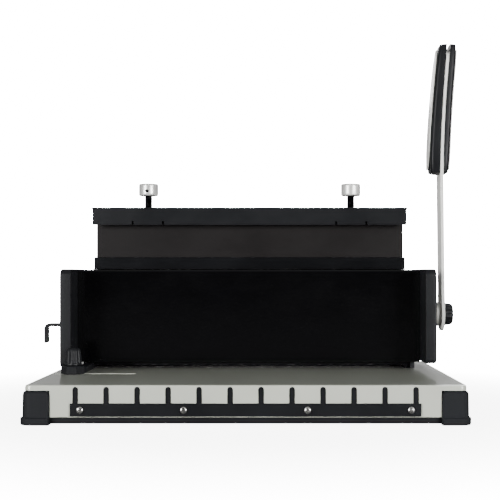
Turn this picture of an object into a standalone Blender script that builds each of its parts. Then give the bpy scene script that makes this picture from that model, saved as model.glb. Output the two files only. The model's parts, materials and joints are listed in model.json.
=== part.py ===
"""Manual wire binding machine: a punch, and a closer for twin-loop wire, on one base.

A side lever turns a shaft with four involute cams. Two push the row of punch pins down through the
die, and two pull the closing beam down on the wire. Sizes are in millimetres, and MM makes them
metres. X runs to the lever's side, Y from the operator to the back, Z up.
"""

import math

import bmesh
import bpy
from mathutils import Vector

MM = 0.001

# Fits
GAP = 0.3              # between pieces that touch
HOLE_CLEAR = 0.3       # radial, round a screw or a rod
PIN_CLEAR = 0.3        # each side of a punch pin in its hole

# Screw shanks
SMALL_SCREW_R = 1.3
COVER_SCREW_R = 1.4
RAIL_SCREW_R = 1.5
FRAME_SCREW_R = 1.6
DECK_SCREW_R = 1.8

# Base
BASE_HALF_W = 182.0
BASE_HALF_D = 130.0
DECK_Z = 33.0
SHELL_Z0 = 6.5
SHELL_WALL = 2.0
SHELL_CORNER_R = 6.0
DECK_EDGE_R = 2.0
PAN_INSET = 1.5
PAN_Z0 = 1.0
PAN_FLOOR = 3.0
PAN_RIM = 2.5

# Corner boots
BOOT_PROUD = 2.0       # beyond the shell's sides
BOOT_SIDE = 23.0
BOOT_TOP_Z = DECK_Z - 5
BOOT_FLARE = 2.0
BOOT_FLARE_Z = 5.6
BOOT_CORNER_R = 8.0
BOOT_SCREW_R = 1.9
BOOT_SCREW_TOP_Z = DECK_Z - 2.6
BOOT_SCREW_HEAD = (4.2, 4.0)           # radius and top of the head, which is sunk from below

# Wire holder on the front
FINGERS = 12
FINGER_PITCH = 25.4
FINGER_W = 4.1
FINGER_TOP_Z = DECK_Z - 1.8
FINGER_FOOT_Z = 10.0
FINGER_BACK = 3.4      # how deep the fingers reach behind the front face
FINGER_SET_BACK = 0.8  # their face above the rail, behind the front face
RAIL_HALF_W = 143.9
RAIL_Z = (7.2, 18.0)
RAIL_PROUD = 1.6
RAIL_SCREW_X = (-135.6, -50.8, 50.8, 135.6)
RAIL_SCREW_Z = 12.5
RAIL_SCREW_HEAD_R = 3.0
RAIL_SCREW_HEAD = 1.7

# Chip tray
TRAY_HALF_W = 146.0
TRAY_Y0 = 24.0
TRAY_WALL = 1.6
TRAY_TOP_Z = DECK_Z - 7
TRAY_LIP_TOP_Z = DECK_Z - 3.4
TRAY_PULL_HALF_W = 30.0
TRAY_PULL_OUT = 3.6

# Punch
HOLES = 23
HOLE_PITCH = 12.7
PIN_W = 5.0
PIN_D = 6.0
PIN_Y = 50.5
PIN_TIP_Z = DECK_Z + 9
DIE_HALF_W = 155.0
DIE_Y = (40.0, 65.0)
DIE_THICK = 6.0
THROAT_H = 3.0
THROAT_HALF_W = 150.0
STRIPPER_THICK = 7.7
BAR_HALF_W = 145.5
BAR_Y = (38.0, 65.0)
BAR_THICK = 8.0
RETAINER_Y = (44.0, 54.5)
RETAINER_THICK = 5.6
GUIDE_ROD_R = 3.5
GUIDE_ROD_XY = (130.0, 60.5)
RETURN_SPRING_R = 5.0
SPRING_WIRE_R = 0.6

# Shaft, cams and lever travel
SHAFT_Y = 58.0
SHAFT_Z = DECK_Z + 51.8
SHAFT_R = 8.0
CAM_LOW_R = 11.0       # from the axis to the follower at rest
CAM_RATE = 7.5         # follower travel in mm per radian
LEVER_RANGE_DEG = 86.0
PUNCH_CAM_X = (108.0, 122.0)
CLOSER_CAM_X = (147.5, 152.5)

# Side frames and covers
TIE_ROD_R = 5.0
FRAME_X = (156.0, 160.0)
FRAME_Y = (36.0, 108.0)
FRAME_FLANGE_W = 14.0
FRAME_TAB_THICK = 3.0
COVER_HALF_W = 164.1
COVER_SHEET = 2.0
FRONT_COVER_Y = 28.5
FRONT_COVER_Z0 = DECK_Z + 6.7
COVER_TOP_Z = DECK_Z + 95.5
COVER_LIP = 7.0
REAR_COVER_Y = 112.0
CHEEK_THICK = 10.3
CHEEK_Y = (-11.2, 114.0)
CHEEK_TOP_Z = DECK_Z + 95.8
CHEEK_LEFT_Z0 = DECK_Z + 4.7
CHEEK_RIGHT_Z0 = DECK_Z + 8.1
CHEEK_SCREWS = ((42.0, DECK_Z + 83), (100.0, DECK_Z + 83), (100.0, DECK_Z + 19))

# Wire closer
PANEL_HALF_W = 153.5
PANEL_Y = 77.0
PANEL_SHEET = 2.5
PANEL_Z = (DECK_Z + 65, DECK_Z + 143.5)
PLATEN_Y0 = 63.0
PLATEN_TOP_Z = DECK_Z + 108
PLATEN_HALF_W = 154.0
BEAM_HALF_W = 155.5
BEAM_Y = (62.0, 93.5)
BEAM_Z = (DECK_Z + 140, DECK_Z + 157)
BEAM_SHEET = 1.5
BEAM_LIP = 1.0
BEAM_BACK_Z0 = DECK_Z + 143
BEAM_NOTCH_X = 15.0
BEAM_NOTCH = (2.0, 4.0)
PRESS_BAR_HALF_W = 150.5
PRESS_BAR_Y = (65.0, 75.0)
PRESS_BAR_Z = (DECK_Z + 140.3, DECK_Z + 148.5)
PULL_Y = (83.0, 91.7)
PULL_FOOT_Z = (DECK_Z + 23.3, DECK_Z + 33)
PULL_PAD_Y = (44.0, 57.0)
LIFT_SPRING_R = 3.6

# Thumb screws
STUD_X = 100.7
STUD_Y = 70.0
STUD_R = 4.0
STUD_Z = (DECK_Z + 143, DECK_Z + 180.6)
KNOB_R = 9.65
KNOB_Z = (DECK_Z + 169, DECK_Z + 181)
SET_SCREW_R = 1.35
SET_SCREW_TURN_DEG = {"left": -4.4, "right": 150.0}
WELD_NUT_R = 7.0

# Margin control
MARGIN_Y = 75.8
MARGIN_Z = DECK_Z + 40.5
MARGIN_ROD_R = 3.0
MARGIN_CAM_LOW_R = 4.5
MARGIN_CAM_RATE = 3.3
MARGIN_RANGE_DEG = 60.0
MARGIN_CAM_X = (56.0, 64.0)
MARGIN_LEVER_X = -205.0
MARGIN_LEVER_Z0 = DECK_Z + 22.5
MARGIN_STRAP = (12.0, 3.2)
MARGIN_ROD_END = 138.0
STOP_Y0 = 59.4
STOP_SHEET = 2.0

# Edge guide
GUIDE_X = -159.5
GUIDE_Y = -24.0
GUIDE_SLOT = (-178.0, -102.0)
GUIDE_SLOT_W = 5.0
GUIDE_STUD_R = 2.0
GUIDE_FLANGE_R = 11.4
GUIDE_FLANGE_TOP_Z = DECK_Z + 7.5
GUIDE_KNOB_R = (7.75, 6.35)
GUIDE_KNOB_TOP_Z = DECK_Z + 23.5
GUIDE_ARM_X = (-157.0, -148.8)
GUIDE_ARM_Y1 = 27.0
GUIDE_ARM_TOP_Z = DECK_Z + 6.2

# Lever
ARM_THICK = 3.0
ARM_HALF_W = 13.0
ARM_EYE_R = 16.4
ARM_TOP_Z = DECK_Z + 313
ARM_X = 189.2          # middle of the arm at the shaft
ARM_LEAN_IN = 1.4
ARM_LEAN_OUT = 6.9
ARM_BEND_Z = DECK_Z + 177
GRIP_Z = (DECK_Z + 189.1, DECK_Z + 317.2)
GRIP_HALF_W = 14.0
GRIP_IN = 8.9
GRIP_OUT = 5.9
GRIP_ROUND = 3.4
GRIP_TAPER = {"inner": -0.26, "outer": 0.14}     # share of the depth gained from foot to top
INLAY_THICK = 1.1
INLAY_Z = (DECK_Z + 194, DECK_Z + 311.4)
INLAY_HALF_W = 10.0
GRIP_SCREW_Z = (DECK_Z + 204.2, DECK_Z + 306.5)
GRIP_SCREW_R = 1.6
SHAFT_NECK_R = 5.0
BOSS_R = 12.0
CLAMP_KNOB_R = 11.2
CLAMP_KNOB_THICK = 9.0
CLAMP_STUD_R = 2.7

# Worked out from the sizes above
SHELL_INNER_W = BASE_HALF_W - SHELL_WALL
SHELL_INNER_D = BASE_HALF_D - SHELL_WALL
BOOT_INNER_X = BASE_HALF_W + BOOT_PROUD - BOOT_SIDE
BOOT_INNER_Y = BASE_HALF_D + BOOT_PROUD - BOOT_SIDE
DECK_UNDER_Z = DECK_Z - SHELL_WALL
CHEEK_X = COVER_HALF_W + GAP
CHEEK_OUT_X = CHEEK_X + CHEEK_THICK
TRAVEL = CAM_RATE * math.radians(LEVER_RANGE_DEG)
FOLLOWER_Z = SHAFT_Z - CAM_LOW_R - GAP
STRIPPER_Z0 = DECK_Z + GAP + THROAT_H
STRIPPER_Z1 = STRIPPER_Z0 + STRIPPER_THICK
BAR_Z0 = FOLLOWER_Z - BAR_THICK
PIN_TOP_Z = BAR_Z0 - GAP
RETAINER_Z0 = PIN_TOP_Z - RETAINER_THICK
FRAME_Z0 = DECK_Z + GAP
FRAME_Z1 = COVER_TOP_Z - COVER_SHEET - GAP
FLANGE_TOP_Z = FRAME_Z0 + FRAME_TAB_THICK
PAN_TOP_Z = SHELL_Z0 - GAP
FRONT_Y = -BASE_HALF_D
PULL_TOP_Z = BEAM_Z[1] - BEAM_SHEET - GAP


def arm_x(z):
    """The middle of the arm at height z: a slight lean in, then a smooth sweep out to the grip."""
    low = (z - SHAFT_Z) / (ARM_BEND_Z - SHAFT_Z)
    if low < 1.0:
        return ARM_X - ARM_LEAN_IN * max(low, 0.0) ** 2
    high = (z - ARM_BEND_Z) / (ARM_TOP_Z - ARM_BEND_Z)
    return ARM_X - ARM_LEAN_IN + ARM_LEAN_OUT * high ** 2


def grip_depth(half, z):
    """How deep the inner or outer half of the grip is at height z."""
    share = (z - GRIP_Z[0]) / (GRIP_Z[1] - GRIP_Z[0])
    full = GRIP_IN if half == "inner" else GRIP_OUT
    return full * (1 + GRIP_TAPER[half] * (share - 0.5))


RIGHT_X = arm_x(INLAY_Z[1]) + ARM_THICK / 2 + grip_depth("outer", INLAY_Z[1]) + 2 * GAP + INLAY_THICK
MID_X = (MARGIN_LEVER_X + RIGHT_X) / 2


# ---------------------------------------------------------------- tools

def clear_scene():
    for obj in list(bpy.data.objects):
        bpy.data.objects.remove(obj, do_unlink=True)


def add_empty(name, place, parent=None):
    """An empty at a place given in the machine's own coordinates."""
    empty = bpy.data.objects.new(name, None)
    empty.empty_display_size = 10 * MM
    start = parent.matrix_basis.translation if parent else Vector()
    empty.location = Vector(place) * MM - start
    empty.parent = parent
    bpy.context.collection.objects.link(empty)
    return empty


def make_object(name, bm, finish, pivot=None):
    """A named solid from a bmesh in machine coordinates, hung from its joint's empty."""
    bmesh.ops.scale(bm, vec=(MM, MM, MM), verts=bm.verts)
    bmesh.ops.recalc_face_normals(bm, faces=bm.faces)
    mesh = bpy.data.meshes.new(name)
    bm.to_mesh(mesh)
    bm.free()
    mesh.shade_smooth()
    mesh.set_sharp_from_angle(angle=math.radians(32))
    obj = bpy.data.objects.new(name, mesh)
    obj.parent = MACHINE
    if pivot is not None:
        obj.parent = pivot
        obj.location = -pivot.location
    bpy.context.collection.objects.link(obj)
    if finish:
        mesh.materials.append(finish)
    return obj


def boolean(obj, bm, operation):
    tool = make_object(f"{obj.name}_tool_{len(obj.modifiers)}", bm, None)
    tool.parent = obj.parent
    tool.location = obj.location
    tool.display_type = 'WIRE'
    tool.hide_render = True
    modifier = obj.modifiers.new(operation.title(), 'BOOLEAN')
    modifier.operation = operation
    modifier.solver = 'EXACT'
    modifier.object = tool


def cut(obj, *shapes):
    for bm in shapes:
        boolean(obj, bm, 'DIFFERENCE')


def fuse(obj, *shapes):
    for bm in shapes:
        boolean(obj, bm, 'UNION')


def merged(*shapes):
    """Several separate bodies as one bmesh."""
    whole = bmesh.new()
    for bm in shapes:
        part = bpy.data.meshes.new("part")
        bm.to_mesh(part)
        bm.free()
        whole.from_mesh(part)
        bpy.data.meshes.remove(part)
    return whole


def on_axis(axis, u, v, t):
    """A point from two coordinates across an axis, in X, Y, Z order, and one along it."""
    return {'X': (t, u, v), 'Y': (u, t, v), 'Z': (u, v, t)}[axis]


def loft(rings, closed=False):
    """Skin rings of equal length, with flat ends, or round into a closed loop."""
    bm = bmesh.new()
    layers = [[bm.verts.new(p) for p in ring] for ring in rings]
    count = len(layers[0])
    pairs = list(zip(layers, layers[1:]))
    if closed:
        pairs.append((layers[-1], layers[0]))
    for low, high in pairs:
        for i in range(count):
            j = (i + 1) % count
            bm.faces.new((low[i], low[j], high[j], high[i]))
    if not closed:
        bm.faces.new(layers[0])
        bm.faces.new(layers[-1])
    bmesh.ops.recalc_face_normals(bm, faces=bm.faces)
    return bm


def prism(outline, axis, low, high):
    return loft([[on_axis(axis, u, v, t) for u, v in outline] for t in (low, high)])


def block(x, y, z, bevel=0.0, segments=2):
    """A box from three (low, high) pairs, its edges rounded by bevel."""
    bm = prism([(x[0], y[0]), (x[1], y[0]), (x[1], y[1]), (x[0], y[1])], 'Z', z[0], z[1])
    if bevel:
        bmesh.ops.bevel(bm, geom=bm.edges[:], offset=bevel, segments=segments,
                        profile=0.5, affect='EDGES', clamp_overlap=True)
    return bm


def circle(u, v, radius, count=20, turn=0.0):
    return [(u + radius * math.cos(turn + 2 * math.pi * i / count),
             v + radius * math.sin(turn + 2 * math.pi * i / count)) for i in range(count)]


def rod(axis, centre, radius, low, high, count=20):
    return prism(circle(*centre, radius, count), axis, low, high)


def turned(axis, centre, profile, count=24, ring=False):
    """A turned piece from (radius, place along the axis) pairs; a ring's profile is closed."""
    u, v = centre
    rings = [[on_axis(axis, a, b, t) for a, b in circle(u, v, r, count)] for r, t in profile]
    return loft(rings, closed=ring)


def rounded(corners, radii, steps=4):
    """An outline whose corners are arcs; corners run anticlockwise."""
    outline = []
    count = len(corners)
    for i, corner in enumerate(corners):
        radius = radii[i] if isinstance(radii, (list, tuple)) else radii
        here = Vector(corner)
        if radius <= 0:
            outline.append(tuple(here))
            continue
        back = (Vector(corners[i - 1]) - here).normalized()
        ahead = (Vector(corners[(i + 1) % count]) - here).normalized()
        half = back.angle(ahead) / 2
        centre = here + (back + ahead).normalized() * radius / math.sin(half)
        start = here + back * radius / math.tan(half) - centre
        sweep = (math.pi - 2 * half) * (1 if back.cross(ahead) < 0 else -1)
        for step in range(steps + 1):
            turn = sweep * step / steps
            outline.append((centre.x + start.x * math.cos(turn) - start.y * math.sin(turn),
                            centre.y + start.x * math.sin(turn) + start.y * math.cos(turn)))
    return outline


def rectangle(half_w, half_d):
    return [(-half_w, -half_d), (half_w, -half_d), (half_w, half_d), (-half_w, half_d)]


def plus_outline(half_w, half_d, corner_x, corner_y):
    """A rectangle with its four corners left out."""
    quarter = [(half_w, -corner_y), (half_w, corner_y), (corner_x, corner_y), (corner_x, half_d)]
    right = [(corner_x, -half_d), (corner_x, -corner_y)] + quarter
    return right + [(-x, -y) for x, y in right]


def screw(axis, centre, head_r, head, shank_r, tip, count=12):
    """A pan-head screw: head is (outer, under), and the shank runs on from under to tip."""
    outer, under = head
    soft = outer + (under - outer) * 0.3
    profile = [(head_r * 0.72, outer), (head_r, soft), (head_r, under), (shank_r, under),
               (shank_r, tip)]
    return turned(axis, centre, profile, count)


def coil(centre, radius, low, high, turns, per_turn=8, sides=4):
    """A closed-ended round-wire spring standing along Z."""
    cx, cy = centre
    steps = int(turns * per_turn)
    height = high - low - 2 * SPRING_WIRE_R
    rings = []
    for i in range(steps + 1):
        a = 2 * math.pi * i / per_turn
        z = low + SPRING_WIRE_R + height * i / steps
        ring = []
        for s in range(sides):
            b = 2 * math.pi * s / sides
            r = radius + SPRING_WIRE_R * math.cos(b)
            ring.append((cx + r * math.cos(a), cy + r * math.sin(a), z + SPRING_WIRE_R * math.sin(b)))
        rings.append(ring)
    return loft(rings)


def cam_outline(low_r, rate, range_deg, hub_r, steps=10):
    """An involute cam as (y, z) about its axis: its follower, below, sinks at a steady rate."""
    outline = []
    for i in range(steps + 1):
        a = math.radians(range_deg) * i / steps
        reach = low_r + rate * a
        outline.append((-reach * math.sin(a) - rate * math.cos(a),
                        -reach * math.cos(a) + rate * math.sin(a)))
    end_y, end_z = outline[-1]
    outline.append((end_y * 0.9, end_z + 0.12 * low_r))
    outline += [(hub_r * math.cos(math.radians(a)), hub_r * math.sin(math.radians(a)))
                for a in range(105, -90, -15)]
    outline.append((0.0, -low_r))
    return outline[::-1]


def fluted(radius, depth, flutes, per_flute=4):
    """A round outline with shallow flutes."""
    count = flutes * per_flute
    return [(radius - depth * (0.5 - 0.5 * math.cos(2 * math.pi * i / per_flute)),
             2 * math.pi * i / count) for i in range(count)]


def finish_of(name, colour, roughness, metallic=0.0):
    material = bpy.data.materials.new(name)
    material.use_nodes = True
    shader = material.node_tree.nodes["Principled BSDF"]
    shader.inputs["Base Color"].default_value = (*colour, 1.0)
    shader.inputs["Roughness"].default_value = roughness
    shader.inputs["Metallic"].default_value = metallic
    material.diffuse_color = (*colour, 1.0)
    return material


def make_finishes():
    return {
        "ivory": finish_of("ivory_paint", (0.62, 0.64, 0.58), 0.35),
        "arm": finish_of("ivory_steel", (0.76, 0.76, 0.70), 0.35),
        "rubber": finish_of("black_rubber", (0.022, 0.024, 0.028), 0.75),
        "black": finish_of("black_plastic", (0.018, 0.020, 0.024), 0.5),
        "gloss": finish_of("black_gloss", (0.006, 0.006, 0.008), 0.15),
        "closer": finish_of("brown_black_paint", (0.016, 0.013, 0.013), 0.45),
        "steel": finish_of("bright_steel", (0.62, 0.62, 0.60), 0.3, 1.0),
        "dark_steel": finish_of("dark_steel", (0.05, 0.05, 0.055), 0.4, 1.0),
        "nickel": finish_of("nickel", (0.74, 0.74, 0.72), 0.35, 0.6),
        "bronze": finish_of("bronze", (0.50, 0.33, 0.14), 0.4, 1.0),
        "tray": finish_of("grey_plastic", (0.10, 0.10, 0.11), 0.5),
    }


# ---------------------------------------------------------------- base

def boot_cutter(side_x, side_y):
    """The room that a boot and its gap take out of the base's corner."""
    x = sorted((side_x * (BOOT_INNER_X - GAP), side_x * (BASE_HALF_W + 20)))
    y = sorted((side_y * (BOOT_INNER_Y - GAP), side_y * (BASE_HALF_D + 20)))
    return block(x, y, (-5, BOOT_TOP_Z + GAP))


def boot_screw_place(side_x, side_y):
    middle = BOOT_SIDE / 2 - 0.5
    return side_x * (BOOT_INNER_X + middle), side_y * (BOOT_INNER_Y + middle)


def pin_places():
    return [(i - (HOLES - 1) / 2) * HOLE_PITCH for i in range(HOLES)]


def finger_places():
    return [(i - (FINGERS - 1) / 2) * FINGER_PITCH for i in range(FINGERS)]


SIDES = (("left", -1), ("right", 1))
CORNERS = {"front_left": (-1, -1), "front_right": (1, -1), "rear_left": (-1, 1), "rear_right": (1, 1)}


def deck_screw_places():
    x = FRAME_X[0] - FRAME_FLANGE_W / 2
    return [(side * x, y) for side in (-1, 1) for y in (FRAME_Y[1] - 36, FRAME_Y[1] - 8)]


def base_shell(finish):
    inset = DECK_EDGE_R
    rings = []
    for z, grow in [(SHELL_Z0, 0.0)] + [
            (DECK_Z - inset + inset * math.sin(a), inset * math.cos(a) - inset)
            for a in (0.0, math.radians(45), math.radians(90))]:
        ring = rounded(rectangle(BASE_HALF_W + grow, BASE_HALF_D + grow), SHELL_CORNER_R + grow)
        rings.append([(x, y, z) for x, y in ring])
    shell = make_object("base_shell", loft(rings), finish)
    room = plus_outline(SHELL_INNER_W, SHELL_INNER_D, BOOT_INNER_X - GAP - SHELL_WALL,
                        BOOT_INNER_Y - GAP - SHELL_WALL)
    cut(shell, prism(room, 'Z', -5, DECK_UNDER_Z))
    cut(shell, merged(*[boot_cutter(*corner) for corner in CORNERS.values()]))
    die_gap = HOLE_CLEAR + GAP
    cut(shell, block((-DIE_HALF_W - die_gap, DIE_HALF_W + die_gap),
                     (DIE_Y[0] - die_gap, DIE_Y[1] + die_gap), (DECK_UNDER_Z - 2, DECK_Z + 5)))
    tray_w = TRAY_HALF_W + GAP + 0.5
    cut(shell, block((-tray_w, tray_w), (SHELL_INNER_D - 1, BASE_HALF_D + 5),
                     (-5, TRAY_LIP_TOP_Z + GAP)))
    slot_r = GUIDE_SLOT_W / 2
    slot = rounded([(GUIDE_SLOT[0], GUIDE_Y - slot_r), (GUIDE_SLOT[1], GUIDE_Y - slot_r),
                    (GUIDE_SLOT[1], GUIDE_Y + slot_r), (GUIDE_SLOT[0], GUIDE_Y + slot_r)],
                   slot_r * 0.95)
    cut(shell, prism(slot, 'Z', DECK_UNDER_Z - 2, DECK_Z + 5))
    half = FINGER_W / 2 + GAP
    slots = []
    for x in finger_places():
        low, high = FINGER_FOOT_Z - GAP, FINGER_TOP_Z + GAP
        top = [(x - half, low), (x + half, low), (x + half, high), (x - half, high)]
        outline = rounded(top, (0, 0, half * 0.9, half * 0.9), 2)
        slots.append(prism(outline, 'Y', FRONT_Y - 5, FRONT_Y + SHELL_WALL + 2))
    cut(shell, merged(*slots))
    holes = [rod('Y', (x, RAIL_SCREW_Z), RAIL_SCREW_R + HOLE_CLEAR, FRONT_Y - 5, FRONT_Y + 6, 12)
             for x in RAIL_SCREW_X]
    holes += [rod('Z', boot_screw_place(*c), BOOT_SCREW_R + HOLE_CLEAR, 10,
                  BOOT_SCREW_TOP_Z + GAP, 12) for c in CORNERS.values()]
    holes += [rod('Z', place, DECK_SCREW_R + HOLE_CLEAR, DECK_UNDER_Z - 2, DECK_Z + 2, 12)
              for place in deck_screw_places()]
    cut(shell, merged(*holes))
    return shell


def base_pan(finish):
    half_w, half_d = BASE_HALF_W - PAN_INSET, BASE_HALF_D - PAN_INSET
    corner = (BOOT_INNER_X - GAP, BOOT_INNER_Y - GAP)
    pan = make_object("base_pan", prism(plus_outline(half_w, half_d, *corner), 'Z', PAN_Z0,
                                        PAN_TOP_Z), finish)
    hollow = plus_outline(half_w - PAN_RIM, half_d - PAN_RIM, corner[0] - PAN_RIM,
                          corner[1] - PAN_RIM)
    cut(pan, prism(hollow, 'Z', PAN_Z0 - 3, PAN_TOP_Z - PAN_FLOOR))


def boot_outline(side_x, side_y, grow, inset=0.0):
    """The boot's plan: grow moves its two outer sides, inset its two inner ones."""
    x0, y0 = BOOT_INNER_X + inset, BOOT_INNER_Y + inset
    x1, y1 = BASE_HALF_W + BOOT_PROUD + grow, BASE_HALF_D + BOOT_PROUD + grow
    radius = BOOT_CORNER_R + grow
    outline = rounded([(x0, y0), (x1, y0), (x1, y1), (x0, y1)],
                      (0, 1.5, radius, 1.5), 3)
    outline = [(side_x * x, side_y * y) for x, y in outline]
    return outline if side_x * side_y > 0 else outline[::-1]


def corner_boot(name, side_x, side_y, finish):
    levels = [(0.0, BOOT_FLARE - 0.6, 0.0), (0.8, BOOT_FLARE, 0.0), (BOOT_FLARE_Z, BOOT_FLARE, 0.0),
              (BOOT_FLARE_Z + 0.9, 0.3, 0.0), (BOOT_TOP_Z - 3.6, 0.0, 0.0),
              (BOOT_TOP_Z - 2.2, -0.3, 0.5), (BOOT_TOP_Z - 0.9, -1.0, 1.7),
              (BOOT_TOP_Z, -2.4, 3.6)]
    rings = [[(x, y, z) for x, y in boot_outline(side_x, side_y, grow, inset)]
             for z, grow, inset in levels]
    boot = make_object(name, loft(rings), finish)
    place = boot_screw_place(side_x, side_y)
    head_r = BOOT_SCREW_HEAD[0] + HOLE_CLEAR
    shank_r = BOOT_SCREW_R + HOLE_CLEAR
    profile = [(head_r, -3), (head_r, BOOT_SCREW_HEAD[1] + GAP), (shank_r, BOOT_SCREW_HEAD[1] + GAP),
               (shank_r, BOOT_TOP_Z + 3)]
    cut(boot, turned('Z', place, profile, 14))


def wire_holder(finish):
    """The rail screwed on the front face, with a row of fingers standing in the shell's slots."""
    face = FRONT_Y - GAP
    rail = block((-RAIL_HALF_W, RAIL_HALF_W), (face - RAIL_PROUD, face), RAIL_Z, 0.5, 1)
    holder = make_object("wire_holder", rail, finish)
    half = FINGER_W / 2
    fingers = []
    for x in finger_places():
        outline = rounded([(x - half, FINGER_FOOT_Z), (x + half, FINGER_FOOT_Z), (x + half, FINGER_TOP_Z),
                           (x - half, FINGER_TOP_Z)], (0, 0, half * 0.9, half * 0.9), 2)
        fingers.append(prism(outline, 'Y', FRONT_Y + FINGER_SET_BACK, FRONT_Y + FINGER_BACK))
        fingers.append(block((x - half + 0.1, x + half - 0.1), (face - 0.5, FRONT_Y + FINGER_BACK - 0.2),
                             (FINGER_FOOT_Z + 0.2, RAIL_Z[1] - 0.5)))
    for bm in fingers:
        fuse(holder, bm)
    cut(holder, merged(*[rod('Y', (x, RAIL_SCREW_Z), RAIL_SCREW_R + HOLE_CLEAR,
                             FRONT_Y - 9, FRONT_Y + 6, 12) for x in RAIL_SCREW_X]))


def rail_screws(finish):
    outer = FRONT_Y - GAP - RAIL_PROUD - GAP
    for number, x in enumerate(RAIL_SCREW_X, 1):
        make_object(f"rail_screw_{number}",
                    screw('Y', (x, RAIL_SCREW_Z), RAIL_SCREW_HEAD_R,
                          (outer - RAIL_SCREW_HEAD, outer), RAIL_SCREW_R, FRONT_Y + 5, 16), finish)


def chip_tray(finish, pivot):
    floor = PAN_TOP_Z + 2 * GAP
    back = BASE_HALF_D - GAP
    tray = make_object("chip_tray", block((-TRAY_HALF_W, TRAY_HALF_W), (TRAY_Y0, back),
                                          (floor, TRAY_TOP_Z)), finish, pivot)
    inner = TRAY_HALF_W - TRAY_WALL
    cut(tray, block((-inner, inner), (TRAY_Y0 + TRAY_WALL, back - 2 * TRAY_WALL),
                    (floor + TRAY_WALL, TRAY_TOP_Z + 9)))
    fuse(tray, block((-TRAY_HALF_W, TRAY_HALF_W), (back - 1.5 * TRAY_WALL, back),
                     (TRAY_TOP_Z - 3, TRAY_LIP_TOP_Z)))
    fuse(tray, block((-TRAY_PULL_HALF_W, TRAY_PULL_HALF_W), (back - 1, back + TRAY_PULL_OUT),
                     (TRAY_TOP_Z - 4, TRAY_TOP_Z), 1.0, 2))


# ---------------------------------------------------------------- punch

def pin_holes(low, high):
    half_w, half_d = PIN_W / 2 + PIN_CLEAR, PIN_D / 2 + PIN_CLEAR
    return merged(*[block((x - half_w, x + half_w), (PIN_Y - half_d, PIN_Y + half_d), (low, high))
                    for x in pin_places()])


def die_screw_places():
    x = (THROAT_HALF_W + DIE_HALF_W) / 2
    return [(side * x, y) for side in (-1, 1) for y in (DIE_Y[0] + 3, DIE_Y[1] - 3)]


def frame_screw_places():
    z = (STRIPPER_Z0 + STRIPPER_Z1) / 2
    return [(DIE_Y[0] + 9.0, z), (DIE_Y[1] - 7.0, z)]


def die_set(finish):
    """The die plate level with the deck, and the stripper, whose ends hold the throat open."""
    x = (-DIE_HALF_W, DIE_HALF_W)
    die = make_object("die_plate", block(x, DIE_Y, (DECK_Z - DIE_THICK, DECK_Z)), finish)
    cut(die, pin_holes(DECK_Z - DIE_THICK - 3, DECK_Z + 3))
    step = [(-DIE_HALF_W, DECK_Z + GAP), (-THROAT_HALF_W, DECK_Z + GAP), (-THROAT_HALF_W, STRIPPER_Z0),
            (THROAT_HALF_W, STRIPPER_Z0), (THROAT_HALF_W, DECK_Z + GAP), (DIE_HALF_W, DECK_Z + GAP),
            (DIE_HALF_W, STRIPPER_Z1), (-DIE_HALF_W, STRIPPER_Z1)]
    stripper = make_object("stripper_plate", prism(step, 'Y', *DIE_Y), finish)
    cut(stripper, pin_holes(STRIPPER_Z0 - 2, STRIPPER_Z1 + 3))
    for piece in (die, stripper):
        cut(piece, merged(*[rod('Z', place, SMALL_SCREW_R + HOLE_CLEAR, 10, STRIPPER_Z1 + 3, 8)
                            for place in die_screw_places()]))
    end_holes = [rod('X', place, FRAME_SCREW_R + HOLE_CLEAR, side * (DIE_HALF_W - 10),
                     side * (DIE_HALF_W + 5), 8)
                 for place in frame_screw_places() for side in (-1, 1)]
    cut(stripper, merged(*end_holes))
    cut(stripper, merged(*[rod('Z', (side * GUIDE_ROD_XY[0], GUIDE_ROD_XY[1]), GUIDE_ROD_R + GAP,
                               STRIPPER_Z0 + 2, STRIPPER_Z1 + 3, 10) for side in (-1, 1)]))


def punch_bar(finish, pivot):
    bar = make_object("punch_bar", block((-BAR_HALF_W, BAR_HALF_W), BAR_Y, (BAR_Z0, FOLLOWER_Z)),
                      finish, pivot)
    cut(bar, merged(*[rod('Z', (side * GUIDE_ROD_XY[0], GUIDE_ROD_XY[1]), GUIDE_ROD_R + HOLE_CLEAR,
                          BAR_Z0 - 3, FOLLOWER_Z + 3, 10) for side in (-1, 1)]))
    cut(bar, retainer_screw_holes())


def retainer_screw_places():
    return [HOLE_PITCH / 2 * odd for odd in (-19, -7, 7, 19)]


def retainer_screw_holes():
    return merged(*[rod('Z', (x, PIN_Y), SMALL_SCREW_R + HOLE_CLEAR, RETAINER_Z0 - 3, FOLLOWER_Z - 2, 8)
                    for x in retainer_screw_places()])


def punch_pins(finish, pivot):
    """The row of pins with the retainer plate that their shoulders are pressed in."""
    plate = make_object("punch_pins", block((-BAR_HALF_W, BAR_HALF_W), RETAINER_Y,
                                            (RETAINER_Z0, PIN_TOP_Z)), finish, pivot)
    fuse(plate, merged(*[block((x - PIN_W / 2, x + PIN_W / 2), (PIN_Y - PIN_D / 2, PIN_Y + PIN_D / 2),
                               (PIN_TIP_Z, RETAINER_Z0 + 1)) for x in pin_places()]))
    cut(plate, retainer_screw_holes())


def guide_rods_and_springs(finish, punch_pivot, closer_pivot):
    x, y = GUIDE_ROD_XY
    lift_x = (CLOSER_CAM_X[0] + CLOSER_CAM_X[1]) / 2
    lift_y = (PULL_Y[0] + PULL_Y[1]) / 2
    for name, side in SIDES:
        make_object(f"guide_rod_{name}", rod('Z', (side * x, y), GUIDE_ROD_R, STRIPPER_Z0 + 2 + GAP,
                                             SHAFT_Z - SHAFT_R - 1.0, 14), finish)
        make_object(f"return_spring_{name}", coil((side * x, y), RETURN_SPRING_R, STRIPPER_Z1 + GAP,
                                                  BAR_Z0 - GAP, 4), finish, punch_pivot)
        make_object(f"lift_spring_{name}", coil((side * lift_x, lift_y), LIFT_SPRING_R,
                                                FLANGE_TOP_Z + GAP, PULL_FOOT_Z[0] - GAP, 4),
                    finish, closer_pivot)


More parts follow.
